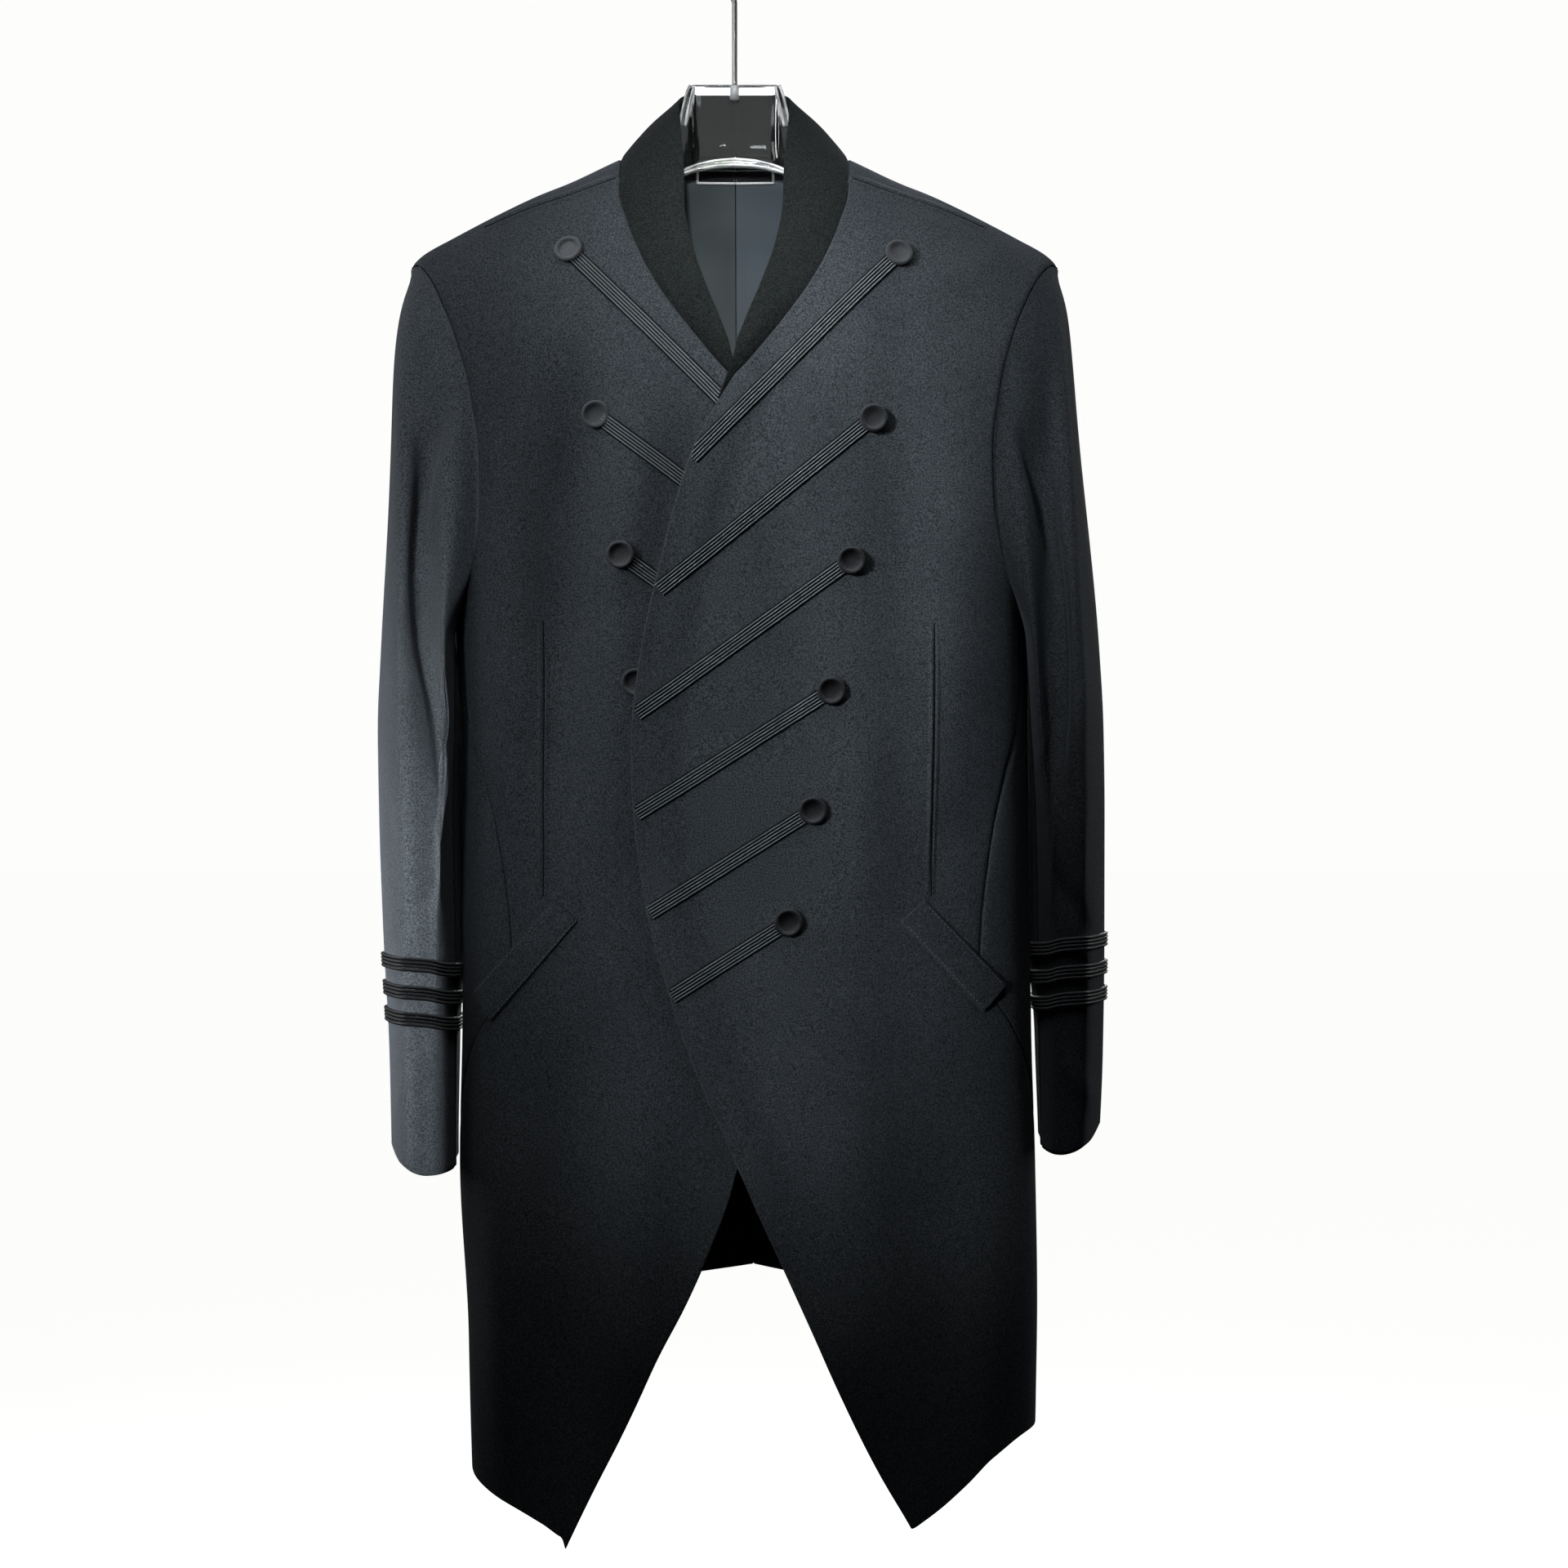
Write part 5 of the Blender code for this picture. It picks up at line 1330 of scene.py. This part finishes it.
def makeWelt(side, tag):
    nearTop, nearFoot, farTop, farFoot = (np.array(corner) for corner in welt[tag])
    way = np.sin(math.pi / 2 * closeShares(70, 110.0, (0.0, 0.4, 1.0, 2.4)))[:, None, None]
    across = closeShares(18, welt["deep"], (0.0, 0.4, 1.0, 2.2))[None, :, None]
    place = (nearFoot * (1 - way) + farFoot * way) * (1 - across) + (nearTop * (1 - way) + farTop * way) * across
    grid, normals = surface(*spot(place[..., 0], place[..., 1]), side)
    edges = np.minimum(across, 1 - across)[..., 0] * welt["deep"]
    pad = welt["gap"] + welt["thick"] + 0.35 * smoothStep(0.0, 3.0, edges)
    pad = pad - 0.45 * np.exp(-((edges - welt["stitchInset"]) / 0.7) ** 2)
    grid = grid + normals * pad[..., None]
    name = "welt_" + tag
    mesh = wallMesh(name, grid, normals, welt["thick"], (), 0.0)
    keepCut(name, placePiece(name + "_cloth", mesh, wool, [name]), grid)
    rows = []
    for edge in (2, -3):
        line, out = grid[4:-4, edge], normals[4:-4, edge]
        reach = lengthAlong(line)
        for k in range(int(reach[-1] / welt["stitchLength"])):
            at = (k + np.linspace(0.15, 0.75, 4)) * welt["stitchLength"]
            bend = 0.16 * np.sin(math.pi * np.linspace(0, 1, 4))
            run = np.stack([np.interp(at, reach, line[:, c] + 0.05 * out[:, c]) for c in range(3)], -1)
            facing = np.stack([np.interp(at, reach, out[:, c]) for c in range(3)], -1)
            rows.append((run + facing * bend[:, None], 1.0, False))
    layCords(name + "_stitches", rows, welt["stitchThick"], 6, soutache, [])


for side, tag in bothSides:
    makeWelt(side, tag)
print("welts made")

# Buttons, one dished form set on points by geometry nodes.

button = {
    # radius, height above the cloth
    "profile": [(0.0, 0.4), (3.6, 0.4), (3.6, 2.2), (8.2, 2.1), (9.3, 2.5), (9.9, 3.4), (9.9, 4.4), (9.4, 5.2),
                (8.7, 5.5), (7.8, 5.3), (7.0, 4.5), (6.5, 3.5), (5.6, 2.9), (2.5, 2.7), (0.0, 2.65)],
    "sides": 40,
    "pinch": 0.22,
}


def joinRings(shape, rings):
    count = len(rings[0])
    for low, high in zip(rings, rings[1:]):
        for k in range(count):
            shape.faces.new((low[k], low[(k + 1) % count], high[(k + 1) % count], high[k]))


def smoothMesh(name, shape):
    mesh = bpy.data.meshes.new(name)
    shape.to_mesh(mesh)
    shape.free()
    mesh.shade_smooth()
    return mesh


def buttonForm():
    profile, sides = button["profile"], button["sides"]
    shape = bmesh.new()
    turns = np.arange(sides) * 2 * math.pi / sides
    loops = []
    for radius, height in profile[1:-1]:
        crimp = button["pinch"] * np.sin(9 * turns + height) if 4.0 < radius < 9.0 else 0 * turns
        loops.append([shape.verts.new((radius * math.cos(t) * mm, radius * math.sin(t) * mm, (height + c * 0.4) * mm))
                      for t, c in zip(turns, crimp)])
    joinRings(shape, loops)
    for loop, height in ((loops[0], profile[0][1]), (loops[-1], profile[-1][1])):
        tip = shape.verts.new((0, 0, height * mm))
        for k in range(sides):
            shape.faces.new((loop[k], loop[(k + 1) % sides], tip))
    bmesh.ops.recalc_face_normals(shape, faces=shape.faces)
    return bpy.data.objects.new("buttonForm", smoothMesh("buttonForm", shape))


def buttonTree():
    sockets = [("Button", "Object", None), ("Size", "Float", 1.0), ("Finish", "Material", None)]
    tree, n, start, end = startTree("buttonsOnPoints", sockets)
    info, facing = n.new("GeometryNodeObjectInfo"), n.new("GeometryNodeInputNamedAttribute")
    facing.data_type = "FLOAT_VECTOR"
    facing.inputs["Name"].default_value = "facing"
    align, put = n.new("FunctionNodeAlignRotationToVector"), n.new("GeometryNodeInstanceOnPoints")
    align.axis = "Z"
    real, finish = n.new("GeometryNodeRealizeInstances"), n.new("GeometryNodeSetMaterial")
    join(tree, [
        (start, "Button", info, "Object"), (start, "Geometry", put, "Points"),
        (info, "Geometry", put, "Instance"), (facing, "Attribute", align, "Vector"),
        (align, "Rotation", put, "Rotation"), (start, "Size", put, "Scale"),
        (put, "Instances", real, "Geometry"), (real, "Geometry", finish, "Geometry"),
        (start, "Finish", finish, "Material"), (finish, "Geometry", end, "Geometry"),
    ])
    return tree


def makeButtons(side, tag, places):
    x, z = np.array([p[0] for p in places], float), np.array([p[1] for p in places], float)
    point, normal = surface(*spot(x, z), side)
    mesh = bpy.data.meshes.new("buttons")
    mesh.from_pydata((point * mm).tolist(), [], [])
    mesh.attributes.new("facing", "FLOAT_VECTOR", "POINT").data.foreach_set("vector", normal.ravel())
    holder = bpy.data.objects.new("buttons_" + tag, mesh)
    bpy.context.scene.collection.objects.link(holder)
    modifier = holder.modifiers.new("buttons", "NODES")
    modifier.node_group = buttonsOnPoints
    setInput(modifier, "Button", dishedButton)
    setInput(modifier, "Size", 1.0)
    setInput(modifier, "Finish", coveredButton)
    bakeNodes(holder)
    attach(holder, "root")
    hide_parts(*["button_%s_%d" % (tag, k + 1) for k in range(len(places))])


buttonsOnPoints = buttonTree()
dishedButton = buttonForm()
makeButtons(1, "left", [row[:2] for row in braid["left"]])
makeButtons(-1, "right", [row[:2] for row in braid["right"]] + [braid["hiddenButton"]])
print("buttons made")

# Neck label.

label = {
    "width": 60.0,
    "height": 9.0,
    "top": -170.5,
    "thick": 1.0,
    "gap": 0.5,
    "rim": 1.0,
    # counts of the grid, and the lengths that its first rows and columns are measured against
    "columns": (30, 54.0),
    "rows": (10, 17.0),
    "near": (0.0, 0.5, 1.2),
}


def makeLabel():
    inset = coat["cloth"] + lining["neckGap"] + coat["satin"] + label["gap"]
    x = label["width"] * (closeShares(*label["columns"], label["near"]) - 0.5)[None]
    z = label["top"] - label["height"] * closeShares(*label["rows"], label["near"])[:, None]
    turn, over = spot(*np.broadcast_arrays(np.where(np.abs(x) > 0.01, x, 0.01), z), True)
    point, normal = bodyPoint(turn, over), bodyNormal(turn, over)
    grid = point - normal * inset
    mesh = wallMesh("neck_label", grid, -normal, label["thick"], (), 0.2)
    keepCut("neck_label", placePiece("neck_label_satin", mesh, labelSatin, ["neck_label"]), grid)
    inner = grid - normal * (label["thick"] + 0.1)
    rim = np.concatenate([inner[1:-2, 1], inner[-2, 2:-2], inner[-3:0:-1, -2]])
    layCords("label_border", [(rim, 1.0, False)], label["rim"], 8, paleThread, [])


makeLabel()
print("label made")

# Hanger.

hanger = {
    # x, top, foot, half thickness, how solid the section is: 1 is a full bar, 0 a thin web between rims
    "sections": [(0, -117, -176, 4, 0.0), (24, -117, -177.2, 4, 0.0), (30, -117, -177.5, 4, 0.25),
                 (32.5, -118.5, -178.2, 4.2, 1.0), (35, -122, -179, 4.2, 1.0), (37.5, -134, -180.4, 4.4, 1.0),
                 (40, -147, -182, 4.5, 0.8), (56, -166, -190, 6, 0.7), (84, -177.2, -206, 8, 0.8),
                 (117, -193.0, -220, 8, 0.8), (141, -202.5, -228, 8, 0.8), (168, -215.0, -238, 8, 0.8),
                 (192, -227.4, -246, 7, 0.9), (198, -232, -243, 4, 1.0)],
    # moulded borders on both faces: x, z points on one side, then thickness
    "borders": [([(32.4, -118.0), (34.6, -123.0), (37.4, -134.0), (40.2, -146.5)], 1.0),
                ([(29.6, -119.0), (31.4, -126.0), (33.8, -136.0), (36.0, -147.0)], 0.55)],
    # lower lip of the middle plate, from the middle outwards
    "lips": [([(0, -172.0), (12, -172.8), (24, -175.2), (32, -177.8), (38, -180.6)], 0.8),
             ([(0, -176.0), (12, -176.6), (24, -178.4), (32, -180.4), (38, -182.6)], 0.5)],
    "borderFace": 4.0,
    # half width, half depth, top, foot and place in depth of the block at the foot of the stem, and its round edges
    "tab": (3.4, 3.1, -118.4, -129.0, -3.2),
    "tabRound": 0.8,
    "web": 0.22,
    "around": 36,
    "stations": 120,
    "wire": 4.0,
    "hookRadius": 22.0,
    # x, y, z of the stem up to the bow, then turns of the bow's start and of each of its steps in degrees
    "stem": [(0, 0, -116.6), (0, 0, -100), (0, 0, -90), (0, 0, -74), (0, 0, -58), (-3.0, 0, -51), (-9.5, 0, -45)],
    "bow": (222, 16.5, 14),
}


def makeHanger():
    rows = hanger["sections"]
    end = rows[-1][0]
    even = np.linspace(-end, end, hanger["stations"])
    xs = np.unique(np.concatenate([even, [way * row[0] for row in rows for way in (-1, 1)]]))
    top, foot, thick, full = (column(rows, 0, k)(np.abs(xs)) for k in (1, 2, 3, 4))
    turns = 2 * math.pi * np.arange(hanger["around"]) / hanger["around"]
    up, out = np.cos(turns), np.sin(turns)
    size = np.where(up > 0, 1.0, (np.abs(up) ** 4 + np.abs(out) ** 4) ** 0.25)
    up, out = up / size, out / size
    web = hanger["web"] + (1 - hanger["web"]) * np.abs(up)[None] ** 5
    hollow = full[:, None] + (1 - full[:, None]) * web
    depth = thick[:, None] * out[None] * hollow
    z = (top + foot)[:, None] / 2 + (top - foot)[:, None] / 2 * up[None]
    points = np.stack([np.broadcast_to(xs[:, None], z.shape), depth, z], -1)
    shape = bmesh.new()
    loops = [[shape.verts.new(tuple(p * mm)) for p in ring] for ring in points]
    joinRings(shape, loops)
    shape.faces.new(loops[0])
    shape.faces.new(loops[-1])
    bmesh.ops.recalc_face_normals(shape, faces=shape.faces)
    mesh = smoothMesh("hanger_body", shape)
    placePiece("hanger_body_clear", mesh, clearPlastic, ["hanger_body"])


def makeBorders():
    face = hanger["borderFace"]
    paths = []
    for y in (-face, face):
        for line, thick in hanger["borders"]:
            for way in (-1, 1):
                paths.append((along([(way * x, y, z) for x, z in line], 24), thick, False))
        for line, thick in hanger["lips"]:
            whole = [(-x, y, z) for x, z in line[:0:-1]] + [(x, y, z) for x, z in line]
            paths.append((along(whole, 50), thick, False))
    # the pale cords paint the highlights along the clear plastic's moulded edges and lips
    layCords("hanger_borders", paths, 1.0, 10, mouldedEdge, [])


def makeTab():
    # A small block of the clear hanger holds the foot of the steel stem; its pale colour is a painted highlight of the
    # clear plastic.
    wide, deep, top, foot, inward = hanger["tab"]
    shape = bmesh.new()
    bmesh.ops.create_cube(shape, size=1.0)
    for vert in shape.verts:
        x, y, z = vert.co
        vert.co = Vector((x * 2 * wide, y * 2 * deep + inward, (top + foot) / 2 + z * (top - foot))) * mm
    bmesh.ops.bevel(shape, geom=list(shape.edges), offset=hanger["tabRound"] * mm, segments=3, affect="EDGES")
    placePiece("hanger_tab", smoothMesh("hanger_tab", shape), mouldedEdge, [])


def makeHook():
    radius, wire = hanger["hookRadius"], hanger["wire"]
    first, step, steps = hanger["bow"]
    turns = np.radians(np.linspace(first, first - step * steps, steps + 1))
    bow = np.stack([radius * np.cos(turns), 0 * turns, radius * np.sin(turns) - (radius - wire / 2)], -1)
    path = along(np.concatenate([hanger["stem"], bow]), 90)
    layCords("hanger_hook_wire", [(path, 1.0, False)], wire / 2, 16, polishedSteel, ["hanger_hook"])


makeHanger()
makeBorders()
makeTab()
makeHook()
print("hanger made")

for name, (piece, area, grid) in sorted(cutSizes.items()):
    across = np.linalg.norm(np.diff(grid, axis=1), axis=2).sum(1).max()
    down = np.linalg.norm(np.diff(grid, axis=0), axis=2).sum(0).max()
    print("cut", name, "wide %.0f long %.0f area %.4f" % (across, down, area))

shareLight()
